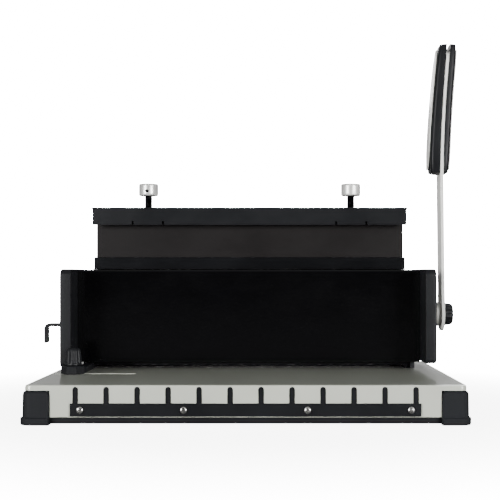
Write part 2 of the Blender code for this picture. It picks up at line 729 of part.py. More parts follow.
# ---------------------------------------------------------------- frame and covers

def tie_rod_places():
    return [(FRAME_Y[0] + 9.0, FRAME_Z1 - 20.0), (FRAME_Y[1] - 9.0, FRAME_Z0 + 37.0)]


def mirror_span(side, span):
    return sorted((side * span[0], side * span[1]))


def side_frame(name, side, finish):
    """A steel plate with a foot flange, top tabs for the covers, and a tab for the closer's panel."""
    frame = make_object(name, block(mirror_span(side, FRAME_X), FRAME_Y, (FRAME_Z0, FRAME_Z1)), finish)
    tab_x = mirror_span(side, (FRAME_X[0] - FRAME_FLANGE_W, FRAME_X[0] + 1))
    tab_top = (FRAME_Z1 - FRAME_TAB_THICK, FRAME_Z1)
    panel_tab_y = PANEL_Y - GAP
    fuse(frame, block(tab_x, (DIE_Y[1] + 3, FRAME_Y[1]), (FRAME_Z0, FLANGE_TOP_Z)))
    fuse(frame, block(tab_x, (FRAME_Y[0] + 2, SHAFT_Y), tab_top))
    fuse(frame, block(tab_x, (PULL_Y[1] + 3, FRAME_Y[1]), tab_top))
    fuse(frame, block(tab_x, (panel_tab_y - FRAME_TAB_THICK, panel_tab_y),
                      (PANEL_Z[0] + 2, tab_top[0] - 2)))
    ends = (side * (FRAME_X[0] - 3), side * (FRAME_X[1] + 3))
    cut(frame, rod('X', (SHAFT_Y, SHAFT_Z), SHAFT_R + 3 + GAP, *ends, 24))
    small = [rod('X', place, FRAME_SCREW_R + HOLE_CLEAR, *ends, 8)
             for place in frame_screw_places() + tie_rod_places() + list(CHEEK_SCREWS)]
    small.append(rod('X', (MARGIN_Y, MARGIN_Z), MARGIN_ROD_R + HOLE_CLEAR, *ends, 14))
    cut(frame, merged(*small))
    tab_holes = [rod('Z', place, DECK_SCREW_R + HOLE_CLEAR, FRAME_Z0 - 2, FLANGE_TOP_Z + 2, 8)
                 for place in deck_screw_places() if place[0] * side > 0]
    tab_holes += [rod('Z', place, COVER_SCREW_R + HOLE_CLEAR, tab_top[0] - 2, tab_top[1] + 2, 8)
                  for place in cover_screw_places() if place[0] * side > 0]
    tab_holes += [rod('Y', place, COVER_SCREW_R + HOLE_CLEAR, panel_tab_y - 6, panel_tab_y + 2, 8)
                  for place in panel_screw_places() if place[0] * side > 0]
    cut(frame, merged(*tab_holes))


def cover_screw_places():
    x = FRAME_X[0] - FRAME_FLANGE_W / 2
    return [(side * x, y) for side in (-1, 1) for y in (FRAME_Y[0] + 8, FRAME_Y[1] - 6)]


def panel_screw_places():
    x = FRAME_X[0] - FRAME_FLANGE_W / 2
    return [(side * x, z) for side in (-1, 1) for z in (PANEL_Z[0] + 6, FRAME_Z1 - 9)]


def tie_rods(finish):
    end = FRAME_X[0] - GAP
    for name, place in zip(("front", "rear"), tie_rod_places()):
        tie = make_object(f"tie_rod_{name}", rod('X', place, TIE_ROD_R, -end, end, 14), finish)
        cut(tie, merged(*[rod('X', place, FRAME_SCREW_R + HOLE_CLEAR, side * (DIE_HALF_W - 9),
                              side * (end + 3), 8) for side in (-1, 1)]))


def front_cover(finish):
    """A sheet bent over the front and the top, with a stiffening lip along the throat."""
    y0, y1, top = FRONT_COVER_Y, PANEL_Y - 2 * GAP, COVER_TOP_Z
    sheet = COVER_SHEET
    corners = [(y0, FRONT_COVER_Z0), (y0 + COVER_LIP, FRONT_COVER_Z0),
               (y0 + COVER_LIP, FRONT_COVER_Z0 + sheet), (y0 + sheet, FRONT_COVER_Z0 + sheet),
               (y0 + sheet, top - sheet), (y1, top - sheet), (y1, top), (y0, top)]
    outline = rounded(corners, (1.0, 0, 0, 0, 0, 0, 0, 3.0), 4)
    cover = make_object("front_cover", prism(outline, 'X', -COVER_HALF_W, COVER_HALF_W), finish)
    holes = [rod('Z', place, COVER_SCREW_R + HOLE_CLEAR, top - 5, top + 3, 8)
             for place in cover_screw_places() if place[1] < SHAFT_Y]
    holes += [rod('Z', place, RAIL_SCREW_R + HOLE_CLEAR, top - 5, top + 3, 10)
              for place in platen_screw_places()]
    cut(cover, merged(*holes))


def rear_cover(finish):
    y0, y1, top = PANEL_Y + PANEL_SHEET + GAP, REAR_COVER_Y, COVER_TOP_Z
    sheet, low = COVER_SHEET, DECK_Z + 2 * GAP
    corners = [(y1, low), (y1, top), (y0, top), (y0, top - sheet), (y1 - sheet, top - sheet),
               (y1 - sheet, low)]
    outline = rounded(corners, (0, 3.0, 0, 0, 0, 0), 4)
    cover = make_object("rear_cover", prism(outline, 'X', -COVER_HALF_W, COVER_HALF_W), finish)
    slot_x = (CLOSER_CAM_X[0] - 2 * GAP, CLOSER_CAM_X[1] + 2 * GAP)
    slot_y = (PULL_Y[0] - 2 * GAP, PULL_Y[1] + 2 * GAP)
    tools = [block(mirror_span(side, slot_x), slot_y, (top - 5, top + 3)) for side in (-1, 1)]
    tools += [rod('Z', place, COVER_SCREW_R + HOLE_CLEAR, top - 5, top + 3, 8)
              for place in cover_screw_places() if place[1] > SHAFT_Y]
    cut(cover, merged(*tools))


def cheek(name, side, low, finish):
    """A moulded side cover with three bosses that reach in to the side frame."""
    y0, y1 = CHEEK_Y
    levels = [(CHEEK_X, 0.0), (CHEEK_OUT_X - 1.8, 0.0), (CHEEK_OUT_X - 0.5, 0.6), (CHEEK_OUT_X, 1.8)]
    rings = []
    for x, inset in levels:
        box = [(y0 + inset, low + inset), (y1 - inset, low + inset),
               (y1 - inset, CHEEK_TOP_Z - inset), (y0 + inset, CHEEK_TOP_Z - inset)]
        outline = rounded(box, (4.0, 4.0, 6.0, 6.0), 3)
        rings.append([(side * x, y, z) for y, z in outline])
    piece = make_object(name, loft(rings), finish)
    reach = (side * (FRAME_X[1] + GAP), side * (CHEEK_X + 2))
    for place in CHEEK_SCREWS:
        fuse(piece, rod('X', place, 5.0, *reach, 14))
    head_seat = side * (CHEEK_OUT_X - 4.0)
    cut(piece, merged(*[turned('X', place, [(FRAME_SCREW_R + HOLE_CLEAR, side * (FRAME_X[1] - 2)),
                                            (FRAME_SCREW_R + HOLE_CLEAR, head_seat), (3.6, head_seat),
                                            (3.6, side * (CHEEK_OUT_X + 3))], 10)
                        for place in CHEEK_SCREWS]))
    if side > 0:
        cut(piece, rod('X', (SHAFT_Y, SHAFT_Z), SHAFT_R + 2 * GAP, CHEEK_X - 3, CHEEK_OUT_X + 3, 24))
    else:
        cut(piece, rod('X', (MARGIN_Y, MARGIN_Z), MARGIN_ROD_R + 2 * GAP, -CHEEK_OUT_X - 3,
                       -CHEEK_X + 3, 14))


# ---------------------------------------------------------------- shaft and cams

def main_shaft(finish, pivot):
    neck = ARM_X - ARM_THICK / 2 - GAP
    end = ARM_X + ARM_THICK / 2 - GAP
    profile = [(SHAFT_R - 0.8, -FRAME_X[1] - 2.6), (SHAFT_R, -FRAME_X[1] - 1.8), (SHAFT_R, neck),
               (SHAFT_NECK_R, neck), (SHAFT_NECK_R, end)]
    shaft = make_object("main_shaft", turned('X', (SHAFT_Y, SHAFT_Z), profile, 24), finish, pivot)
    cut(shaft, rod('X', (SHAFT_Y, SHAFT_Z), CLAMP_STUD_R + GAP, end - 16, end + 3, 16))


def cam(name, side, span, finish, pivot):
    outline = [(SHAFT_Y + y, SHAFT_Z + z)
               for y, z in cam_outline(CAM_LOW_R, CAM_RATE, LEVER_RANGE_DEG, CAM_LOW_R)]
    low, high = mirror_span(side, span)
    piece = make_object(name, prism(outline, 'X', low, high), finish, pivot)
    cut(piece, rod('X', (SHAFT_Y, SHAFT_Z), SHAFT_R + GAP, low - 3, high + 3, 24))


def shaft_bushes(finish):
    inner, outer = SHAFT_R + GAP, SHAFT_R + 3
    flange = FRAME_X[0] - GAP
    profile = [(inner, flange - 1.8), (outer + 2, flange - 1.8), (outer + 2, flange),
               (outer, flange), (outer, FRAME_X[1] + 1.2), (inner, FRAME_X[1] + 1.2)]
    for name, side in SIDES:
        ring = [(r, side * x) for r, x in profile]
        make_object(f"shaft_bush_{name}", turned('X', (SHAFT_Y, SHAFT_Z), ring, 24, True), finish)


# ---------------------------------------------------------------- wire closer

def closer_panel(finish):
    panel = make_object("closer_panel", block((-PANEL_HALF_W, PANEL_HALF_W),
                                              (PANEL_Y, PANEL_Y + PANEL_SHEET), PANEL_Z), finish)
    cut(panel, merged(*[rod('Y', place, COVER_SCREW_R + HOLE_CLEAR, PANEL_Y - 3, PANEL_Y + 6, 8)
                        for place in panel_screw_places()]))


def platen_screw_places():
    y = (PLATEN_Y0 + PANEL_Y) / 2
    return [(x, y) for x in (-136.0, -45.0, 45.0, 136.0)]


def closer_platen(finish):
    low = COVER_TOP_Z + GAP
    platen = make_object("closer_platen", block((-PLATEN_HALF_W, PLATEN_HALF_W),
                                                (PLATEN_Y0, PANEL_Y - GAP), (low, PLATEN_TOP_Z),
                                                0.8, 2), finish)
    cut(platen, merged(*[rod('Z', place, RAIL_SCREW_R + HOLE_CLEAR, low - 3, low + 8, 8)
                         for place in platen_screw_places()]))


def beam_screw_places():
    x = (CLOSER_CAM_X[0] + CLOSER_CAM_X[1]) / 2
    return [(side * x, z) for side in (-1, 1) for z in (BEAM_BACK_Z0 + 3, PULL_TOP_Z - 2.5)]


def closer_beam(finish, pivot):
    """A channel open below, with a deep front flange, and a nut welded in over each stud."""
    (y0, y1), (z0, z1), sheet = BEAM_Y, BEAM_Z, BEAM_SHEET
    half = BEAM_HALF_W
    beam = make_object("closer_beam", block((-half, half), (y0, y1), (z0, z1)), finish, pivot)
    cut(beam, block((-half + sheet, half - sheet), (y0 + sheet, y1 - sheet), (z0 - 3, z1 - sheet)))
    cut(beam, block((-half - 3, half + 3), (y0 + sheet, y1 + 3), (z0 - 3, BEAM_BACK_Z0)))
    fuse(beam, block((-half - BEAM_LIP, half + BEAM_LIP), (y0 - 0.4, y1 + 0.4),
                     (z1 - sheet, z1 + 0.2), 0.3, 1))
    nut_top = z1 - sheet + 0.5
    fuse(beam, merged(*[prism(circle(side * STUD_X, STUD_Y, WELD_NUT_R, 6), 'Z', nut_top - 6.5, nut_top)
                        for _, side in SIDES]))
    notch_w, notch_h = BEAM_NOTCH
    tools = [rod('Z', (side * STUD_X, STUD_Y), STUD_R + GAP, z1 - 12, z1 + 4, 20)
             for side in (-1, 1)]
    for side in (-1, 1):
        for edge in (-1, 1):
            x = side * STUD_X + edge * BEAM_NOTCH_X
            tools.append(block((x - notch_w / 2, x + notch_w / 2), (y0 - 3, y0 + sheet + 1),
                               (z0 - 3, z0 + notch_h)))
    tools += [rod('Y', place, SMALL_SCREW_R + HOLE_CLEAR, y1 - 5, y1 + 3, 10)
              for place in beam_screw_places()]
    cut(beam, merged(*tools))


def pull_plate(name, side, finish, pivot):
    """Joins the beam to its cam follower: an upright behind the panel, a foot and a pad."""
    (y0, y1), (foot0, foot1), (pad0, pad1) = PULL_Y, PULL_FOOT_Z, PULL_PAD_Y
    outline = rounded([(pad0, foot0), (y1, foot0), (y1, PULL_TOP_Z), (y0, PULL_TOP_Z), (y0, foot1),
                       (pad1, foot1), (pad1, FOLLOWER_Z), (pad0, FOLLOWER_Z)],
                      (3, 0, 0, 0, 3, 3, 0, 0), 3)
    plate = make_object(name, prism(outline, 'X', *mirror_span(side, CLOSER_CAM_X)), finish, pivot)
    cut(plate, merged(*[rod('Y', place, SMALL_SCREW_R + HOLE_CLEAR, y1 - 5, y1 + 3, 8)
                        for place in beam_screw_places() if place[0] * side > 0]))


def press_bar(finish, pivot):
    bar = make_object("press_bar", block((-PRESS_BAR_HALF_W, PRESS_BAR_HALF_W), PRESS_BAR_Y,
                                         PRESS_BAR_Z, 0.8, 2), finish, pivot)
    cut(bar, merged(*[rod('Z', (side * STUD_X, STUD_Y), STUD_R + GAP, STUD_Z[0] - GAP,
                          PRESS_BAR_Z[1] + 3, 20) for side in (-1, 1)]))


def thumb_screw(name, side, finishes, pivot):
    centre = (side * STUD_X, STUD_Y)
    low, high = STUD_Z
    profile = [(STUD_R - 0.6, low), (STUD_R, low + 0.6), (STUD_R, high - 0.6), (STUD_R - 0.6, high)]
    make_object(f"thumb_stud_{name}", turned('Z', centre, profile, 20), finishes["dark_steel"], pivot)
    bore = STUD_R + GAP
    z0, z1 = KNOB_Z
    ring = [(bore, z0), (KNOB_R - 0.7, z0), (KNOB_R, z0 + 0.7), (KNOB_R, z1 - 0.7),
            (KNOB_R - 0.7, z1), (bore, z1)]
    knob = make_object(f"thumb_knob_{name}", turned('Z', centre, ring, 24, True),
                       finishes["nickel"], pivot)
    turn = math.radians(SET_SCREW_TURN_DEG[name])
    aim = Vector((math.sin(turn), -math.cos(turn), 0))
    middle = Vector((*centre, (z0 + z1) / 2 - 1.5))
    cut(knob, aimed_rod(middle, aim, SET_SCREW_R + GAP, bore - 1, KNOB_R + 2))


def aimed_rod(start, aim, radius, low, high, count=10):
    across = aim.cross(Vector((0, 0, 1)))
    rings = []
    for t in (low, high):
        ring = []
        for a, b in circle(0, 0, radius, count):
            ring.append(tuple(start + aim * t + across * a + Vector((0, 0, b))))
        rings.append(ring)
    return loft(rings)


# ---------------------------------------------------------------- margin control and edge guide

def margin_lever(finish, pivot):
    """A rod with two welded cams, and a strap that bends down outside the left cheek."""
    width, thick = MARGIN_STRAP
    start, out, low = -CHEEK_OUT_X - 2 * GAP, MARGIN_LEVER_X, MARGIN_LEVER_Z0
    top = MARGIN_Z + thick / 2
    strap = rounded([(start, top - thick), (start, top), (out, top), (out, low), (out + thick, low),
                     (out + thick, top - thick)], (0, 0, 5.0, 1.0, 1.0, 2.2), 4)
    half = width / 2
    lever = make_object("margin_lever", prism(strap, 'Y', MARGIN_Y - half, MARGIN_Y + half), finish, pivot)
    fuse(lever, rod('X', (MARGIN_Y, MARGIN_Z), MARGIN_ROD_R, start - 5, MARGIN_ROD_END, 14))
    cam = [(MARGIN_Y + z, MARGIN_Z - y)
           for y, z in cam_outline(MARGIN_CAM_LOW_R, MARGIN_CAM_RATE, MARGIN_RANGE_DEG,
                                   MARGIN_CAM_LOW_R, 6)]
    for side in (-1, 1):
        fuse(lever, prism(cam, 'X', *mirror_span(side, MARGIN_CAM_X)))


def depth_stop(finish, pivot):
    """A bent strip: a blade in the throat, a web, and two ears in front of the margin cams."""
    back = MARGIN_Y - MARGIN_CAM_LOW_R - GAP
    low = DECK_Z + 2 * GAP
    sheet = STOP_SHEET
    web_top = PULL_FOOT_Z[0] - TRAVEL - 2
    section = [(STOP_Y0, low), (back, low), (back, web_top), (back - sheet, web_top),
               (back - sheet, low + sheet), (STOP_Y0, low + sheet)]
    tab_half = FRAME_X[0] - FRAME_FLANGE_W - 2
    stop = make_object("depth_stop", prism(section, 'X', -tab_half, tab_half), finish, pivot)
    for side in (-1, 1):
        x = mirror_span(side, (MARGIN_CAM_X[0] - 3, MARGIN_CAM_X[1] + 3))
        fuse(stop, block(x, (back - sheet, back), (web_top - 4, MARGIN_Z + MARGIN_CAM_RATE + 1.7)))


def edge_guide(finish, pivot):
    centre = (GUIDE_X, GUIDE_Y)
    low = DECK_Z + GAP
    rings = [[(x, y, z) for x, y in circle(*centre, r, 8, math.radians(22.5))]
             for z, r in ((low, GUIDE_FLANGE_R), (GUIDE_FLANGE_TOP_Z - 0.8, GUIDE_FLANGE_R),
                          (GUIDE_FLANGE_TOP_Z, GUIDE_FLANGE_R - 0.8))]
    guide = make_object("edge_guide", loft(rings), finish, pivot)
    fuse(guide, block(GUIDE_ARM_X, (GUIDE_Y - 4, GUIDE_ARM_Y1), (low, GUIDE_ARM_TOP_Z), 0.6, 1))
    cut(guide, rod('Z', centre, GUIDE_STUD_R + HOLE_CLEAR, low - 3, GUIDE_FLANGE_TOP_Z + 3, 14))


def guide_clamp(finishes, knob_pivot, guide_pivot):
    """The fluted knob with its stud, and the nut that it draws up under the deck."""
    foot, top = GUIDE_FLANGE_TOP_Z + GAP, GUIDE_KNOB_TOP_Z
    low_r, high_r = GUIDE_KNOB_R
    rings = []
    for z, radius, depth in ((foot, low_r, 0.2), (foot + 2.2, low_r, 0.9),
                             (top - 1.2, high_r, 0.9), (top, high_r - 1.2, 0.2)):
        rings.append([(GUIDE_X + r * math.cos(a), GUIDE_Y + r * math.sin(a), z)
                      for r, a in fluted(radius, depth, 10, 3)])
    knob = make_object("guide_knob", loft(rings), finishes["black"], knob_pivot)
    low = DECK_UNDER_Z - 8
    fuse(knob, rod('Z', (GUIDE_X, GUIDE_Y), GUIDE_STUD_R, low, foot + 4, 14))
    nut_top = DECK_UNDER_Z - GAP
    nut = make_object("guide_nut", block((GUIDE_X - 6, GUIDE_X + 6), (GUIDE_Y - 6, GUIDE_Y + 6),
                                         (nut_top - 4.5, nut_top)), finishes["steel"], guide_pivot)
    cut(nut, rod('Z', (GUIDE_X, GUIDE_Y), GUIDE_STUD_R + HOLE_CLEAR, nut_top - 9, nut_top + 3, 14))


# ---------------------------------------------------------------- lever

def arm_levels():
    """Heights and half widths up the arm: a round eye, a straight blade, a round top."""
    levels = [(SHAFT_Z - ARM_EYE_R * math.cos(math.radians(a)), ARM_EYE_R * math.sin(math.radians(a)))
              for a in (12, 30, 48, 66, 90, 112)]
    start = SHAFT_Z + ARM_EYE_R + 8
    steps = 10
    top = ARM_TOP_Z - ARM_HALF_W
    levels += [(start + (top - start) * i / steps, ARM_HALF_W) for i in range(steps + 1)]
    levels += [(top + ARM_HALF_W * math.sin(math.radians(a)), ARM_HALF_W * math.cos(math.radians(a)))
               for a in (25, 50, 75)]
    return levels


def handle_arm(finish, pivot):
    half = ARM_THICK / 2
    rings = []
    for z, width in arm_levels():
        x = arm_x(z)
        rings.append([(x - half, SHAFT_Y - width, z), (x + half, SHAFT_Y - width, z),
                      (x + half, SHAFT_Y + width, z), (x - half, SHAFT_Y + width, z)])
    arm = make_object("handle_arm", loft(rings), finish, pivot)
    cut(arm, rod('X', (SHAFT_Y, SHAFT_Z), SHAFT_NECK_R + GAP, ARM_X - 6, ARM_X + 6, 20))
    cut(arm, grip_screw_holes())


def grip_screw_holes():
    return merged(*[rod('X', (SHAFT_Y, z), GRIP_SCREW_R + HOLE_CLEAR, ARM_X - 25, ARM_X + 25, 12)
                    for z in GRIP_SCREW_Z])


def grip_half(half, side, finish, pivot):
    """A moulded half: flat against the arm, rounded outside, drawn in towards both ends."""
    z0, z1 = GRIP_Z
    middle, half_length = (z0 + z1) / 2, (z1 - z0) / 2
    rings = []
    steps = 10
    for i in range(steps + 1):
        a = math.pi * i / steps
        along = math.copysign(abs(math.cos(a)) ** 0.45, -math.cos(a))
        swell = max(math.sin(a), 0.0) ** 0.28
        z = middle + half_length * along
        width = GRIP_HALF_W * (0.42 + 0.58 * swell)
        depth = grip_depth(half, z) * (0.45 + 0.55 * swell)
        base = arm_x(z) + side * (ARM_THICK / 2 + GAP)
        corners = [(-width, 0), (width, 0), (width, depth), (-width, depth)]
        corner_r = min(GRIP_ROUND, depth * 0.8)
        outline = rounded(corners, (0, 0, corner_r, corner_r), 3)
        rings.append([(base + side * v, SHAFT_Y + u, z) for u, v in outline])
    grip = make_object(f"grip_{half}", loft(rings), finish, pivot)
    cut(grip, grip_screw_holes())


def grip_inlay(half, side, finish, pivot):
    low, high = INLAY_Z
    rings = []
    steps = 8
    for i in range(steps + 1):
        z = low + (high - low) * i / steps
        width = INLAY_HALF_W * (1 - 0.55 * abs(2 * i / steps - 1) ** 6)
        inner = arm_x(z) + side * (ARM_THICK / 2 + grip_depth(half, z) + 2 * GAP)
        outer = inner + side * INLAY_THICK
        rings.append([(inner, SHAFT_Y - width, z), (outer, SHAFT_Y - width, z),
                      (outer, SHAFT_Y + width, z), (inner, SHAFT_Y + width, z)])
    inlay = make_object(f"grip_inlay_{half}", loft(rings), finish, pivot)
    cut(inlay, grip_screw_holes())


def handle_boss(finish, pivot):
    low, high = CHEEK_OUT_X + 2 * GAP, ARM_X - ARM_THICK / 2 - GAP
    groove = (high - low) / 3
    inner = SHAFT_R + GAP
    profile = [(inner, low)]
    for i in range(3):
        start = low + groove * i
        profile += [(BOSS_R - 0.8, start + 0.2), (BOSS_R, start + 0.8), (BOSS_R, start + groove - 0.8),
                    (BOSS_R - 0.8, start + groove - 0.2)]
    profile.append((inner, high))
    profile[-2] = (BOSS_R - 0.8, high)
    profile[1] = (BOSS_R - 0.8, low)
    make_object("handle_boss", turned('X', (SHAFT_Y, SHAFT_Z), profile, 18, True), finish, pivot)


def clamp_knob(finish, pivot):
    start = ARM_X + ARM_THICK / 2 + GAP
    end = start + CLAMP_KNOB_THICK
    rings = []
    for x, radius, depth in ((start, CLAMP_KNOB_R, 0.9), (end - 1.4, CLAMP_KNOB_R, 0.9),
                             (end, CLAMP_KNOB_R - 1.6, 0.3)):
        rings.append([(x, SHAFT_Y + r * math.cos(a), SHAFT_Z + r * math.sin(a))
                      for r, a in fluted(radius, depth, 12, 3)])
    knob = make_object("clamp_knob", loft(rings), finish, pivot)
    fuse(knob, rod('X', (SHAFT_Y, SHAFT_Z), CLAMP_STUD_R, start - 13, start + 3, 14))


# ---------------------------------------------------------------- assembly

def build_base(finishes):
    base_shell(finishes["ivory"])
    base_pan(finishes["black"])
    for name, corner in CORNERS.items():
        corner_boot(f"foot_{name}", *corner, finishes["rubber"])
    wire_holder(finishes["black"])
    rail_screws(finishes["steel"])
    chip_tray(finishes["tray"], add_empty("tray_travel", (0, BASE_HALF_D, PAN_TOP_Z), MACHINE))


def build_punch(finishes):
    punch = add_empty("punch_travel", (0, PIN_Y, FOLLOWER_Z), MACHINE)
    closer = add_empty("closer_travel", (0, PULL_Y[0], FOLLOWER_Z), MACHINE)
    die_set(finishes["steel"])
    punch_bar(finishes["steel"], punch)
    punch_pins(finishes["steel"], punch)
    guide_rods_and_springs(finishes["steel"], punch, closer)
    return closer


def build_housing(finishes):
    side_frame("side_frame_left", -1, finishes["dark_steel"])
    side_frame("side_frame_right", 1, finishes["dark_steel"])
    tie_rods(finishes["steel"])
    shaft_bushes(finishes["bronze"])
    front_cover(finishes["gloss"])
    rear_cover(finishes["gloss"])
    cheek("cheek_left", -1, CHEEK_LEFT_Z0, finishes["black"])
    cheek("cheek_right", 1, CHEEK_RIGHT_Z0, finishes["black"])


def build_closer(finishes, closer):
    closer_panel(finishes["closer"])
    closer_platen(finishes["dark_steel"])
    closer_beam(finishes["black"], closer)
    pull_plate("pull_plate_left", -1, finishes["dark_steel"], closer)
    pull_plate("pull_plate_right", 1, finishes["dark_steel"], closer)
    press_bar(finishes["dark_steel"], add_empty("press_travel", (0, STUD_Y, BEAM_Z[1]), MACHINE))
    for name, side in SIDES:
        turn = add_empty(f"thumb_turn_{name}", (side * STUD_X, STUD_Y, KNOB_Z[0]), MACHINE)
        thumb_screw(name, side, finishes, turn)


def build_controls(finishes):
    margin = add_empty("margin_turn", (0, MARGIN_Y, MARGIN_Z), MACHINE)
    margin_lever(finishes["dark_steel"], margin)
    depth_stop(finishes["dark_steel"], add_empty("stop_travel", (0, STOP_Y0, DECK_Z), MACHINE))
    guide = add_empty("guide_travel", (GUIDE_X, GUIDE_Y, DECK_Z), MACHINE)
    turn = add_empty("guide_knob_turn", (GUIDE_X, GUIDE_Y, GUIDE_FLANGE_TOP_Z), MACHINE)
    edge_guide(finishes["black"], guide)
    guide_clamp(finishes, turn, guide)


def build_lever(finishes):
    pivot = add_empty("lever_pivot", (ARM_X, SHAFT_Y, SHAFT_Z), MACHINE)
    main_shaft(finishes["steel"], pivot)
    for name, side in SIDES:
        cam(f"punch_cam_{name}", side, PUNCH_CAM_X, finishes["dark_steel"], pivot)
        cam(f"closer_cam_{name}", side, CLOSER_CAM_X, finishes["dark_steel"], pivot)
    handle_boss(finishes["arm"], pivot)
    handle_arm(finishes["arm"], pivot)
    knob_turn = add_empty("clamp_knob_turn", (ARM_X + ARM_THICK, SHAFT_Y, SHAFT_Z), MACHINE)
    clamp_knob(finishes["black"], knob_turn)
    for half, side in (("inner", -1), ("outer", 1)):
        grip_half(half, side, finishes["black"], pivot)
        grip_inlay(half, side, finishes["arm"], pivot)


clear_scene()
MACHINE = add_empty("machine", (0, 0, 0))
MACHINE.location.x = -MID_X * MM
FINISHES = make_finishes()
build_base(FINISHES)
CLOSER = build_punch(FINISHES)
build_housing(FINISHES)
build_closer(FINISHES, CLOSER)
build_controls(FINISHES)
build_lever(FINISHES)
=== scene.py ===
"""Wire binding machine: finished pieces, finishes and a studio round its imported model.

Each piece is made at its own place in the frame, in metres, and rides on the body it belongs to.
"""

import json
import math

import bmesh
import bpy
from bpy.props import FloatProperty, FloatVectorProperty, IntProperty, PointerProperty
from mathutils import Euler, Matrix, Vector


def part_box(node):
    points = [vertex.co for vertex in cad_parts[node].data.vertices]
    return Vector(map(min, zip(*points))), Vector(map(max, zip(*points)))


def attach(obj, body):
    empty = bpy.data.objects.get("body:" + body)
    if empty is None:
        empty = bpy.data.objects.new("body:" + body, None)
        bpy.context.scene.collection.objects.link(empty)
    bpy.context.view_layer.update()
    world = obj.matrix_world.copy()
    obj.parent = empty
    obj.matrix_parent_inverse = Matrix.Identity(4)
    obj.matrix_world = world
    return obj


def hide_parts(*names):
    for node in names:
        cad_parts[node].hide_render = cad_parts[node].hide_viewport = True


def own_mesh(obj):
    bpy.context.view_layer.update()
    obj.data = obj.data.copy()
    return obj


bl_info = {
    "name": "Wire Binding Machine",
    "version": (1, 0, 0),
    "blender": (4, 5, 0),
    "location": "View3D > Sidebar > Binder",
    "description": "Builds the finished pieces of a punch and wire closer round its frame",
    "category": "Object",
}

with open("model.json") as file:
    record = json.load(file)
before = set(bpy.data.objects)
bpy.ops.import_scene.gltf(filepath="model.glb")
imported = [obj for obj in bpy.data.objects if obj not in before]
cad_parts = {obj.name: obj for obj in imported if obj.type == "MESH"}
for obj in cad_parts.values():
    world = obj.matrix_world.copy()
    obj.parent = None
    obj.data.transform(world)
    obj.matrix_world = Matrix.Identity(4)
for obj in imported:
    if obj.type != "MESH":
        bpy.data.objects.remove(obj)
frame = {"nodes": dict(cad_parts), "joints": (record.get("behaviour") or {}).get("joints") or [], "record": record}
NODES = frame["nodes"]
SLOT_OF = {part["node"]: part["material_slot"] for part in frame["record"]["subparts"]}
BODY_OF = {node: body for body, nodes in frame["record"]["behaviour"]["bodies"].items() for node in nodes}
JOINTS = {joint["name"]: joint for joint in frame["joints"]}
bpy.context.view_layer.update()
MM = 0.001
SIDES = (("left", -1), ("right", 1))
SHELL_LOW, SHELL_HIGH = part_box("base_shell")
CENTRE_X = (SHELL_LOW.x + SHELL_HIGH.x) / 2

SHIM = 0.3 * MM                                               # gap between pieces that touch
CHEEK_SCREWS = ((42, 116), (100, 116), (100, 52))             # mm back and up
SPRING_TURNS = 6
THREAD_RUN_IN = 1.1                                           # pitches cut off the thread's start
THREAD_DEPTH = 0.5                                            # share of the pitch
GRUB_TURN = {"left": math.radians(-4.4), "right": math.radians(150)}
GRUB_BELOW = 1.5 * MM                                         # under the middle of the knob
SCALE_START, SCALE_STEP, SCALE_Y, SCALE_TICKS = -0.172, 0.005, -0.0355, 15

BACKDROP = 30.0                                               # as the camera sees the world
ROOM_ABOVE, ROOM_BEHIND, ROOM_IN_FRONT = 0.12, 0.4, 0.02      # the studio's own light on the pieces
FLOOR_NEAR, FLOOR_FAR, FLOOR_FADE = 7.0, 26.0, (0.2, 0.9)     # glow for the camera, and its reach
SOFTBOXES = (                                                 # name, place, aim, size, power
    ("softbox_top", (0.0, -0.5, 1.8), (0, 0, 0.1), (2.4, 1.6), 3),
    ("softbox_left", (-1.7, -2.0, 0.45), (0, 0, 0.12), (1.0, 0.8), 74),
    ("softbox_right", (1.7, -2.0, 0.45), (0, 0, 0.12), (1.0, 0.8), 74),
    ("softbox_back", (0.3, 1.9, 1.1), (0, 0, 0.15), (1.4, 1.0), 20),
)
CAMERA_LENS, CAMERA_SHIFT, CAMERA_PLACE = 81.0, (-0.0366, 0.052), (0.0186, -1.0518, 0.1223)


def middle(node):
    low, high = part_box(node)
    return (low + high) / 2


def place_of(x, y, z):
    """A point from millimetres right of the base's middle, back of it, and above the desk."""
    return Vector((CENTRE_X + x * MM, y * MM, z * MM))


# ---------------------------------------------------------------- sizes and colours

class BinderSizes(bpy.types.PropertyGroup):
    """Sizes of the details."""
    soft_edge: FloatProperty(name="Soft edge", description="Rounding on sheet and moulded edges",
                             default=0.45 * MM, unit='LENGTH')
    thread_pitch: FloatProperty(name="Thread pitch", description="Pitch of the thumb screws' thread",
                                default=1.25 * MM, unit='LENGTH')
    knurl_depth: FloatProperty(name="Knurl depth", description="Depth of the knobs' diamond knurl",
                               default=0.28 * MM, unit='LENGTH')
    spring_wire: FloatProperty(name="Spring wire", description="Radius of the springs' wire",
                               default=0.55 * MM, unit='LENGTH')
    flutes: IntProperty(name="Flutes", description="Flutes on the plastic knobs", default=12, min=6)


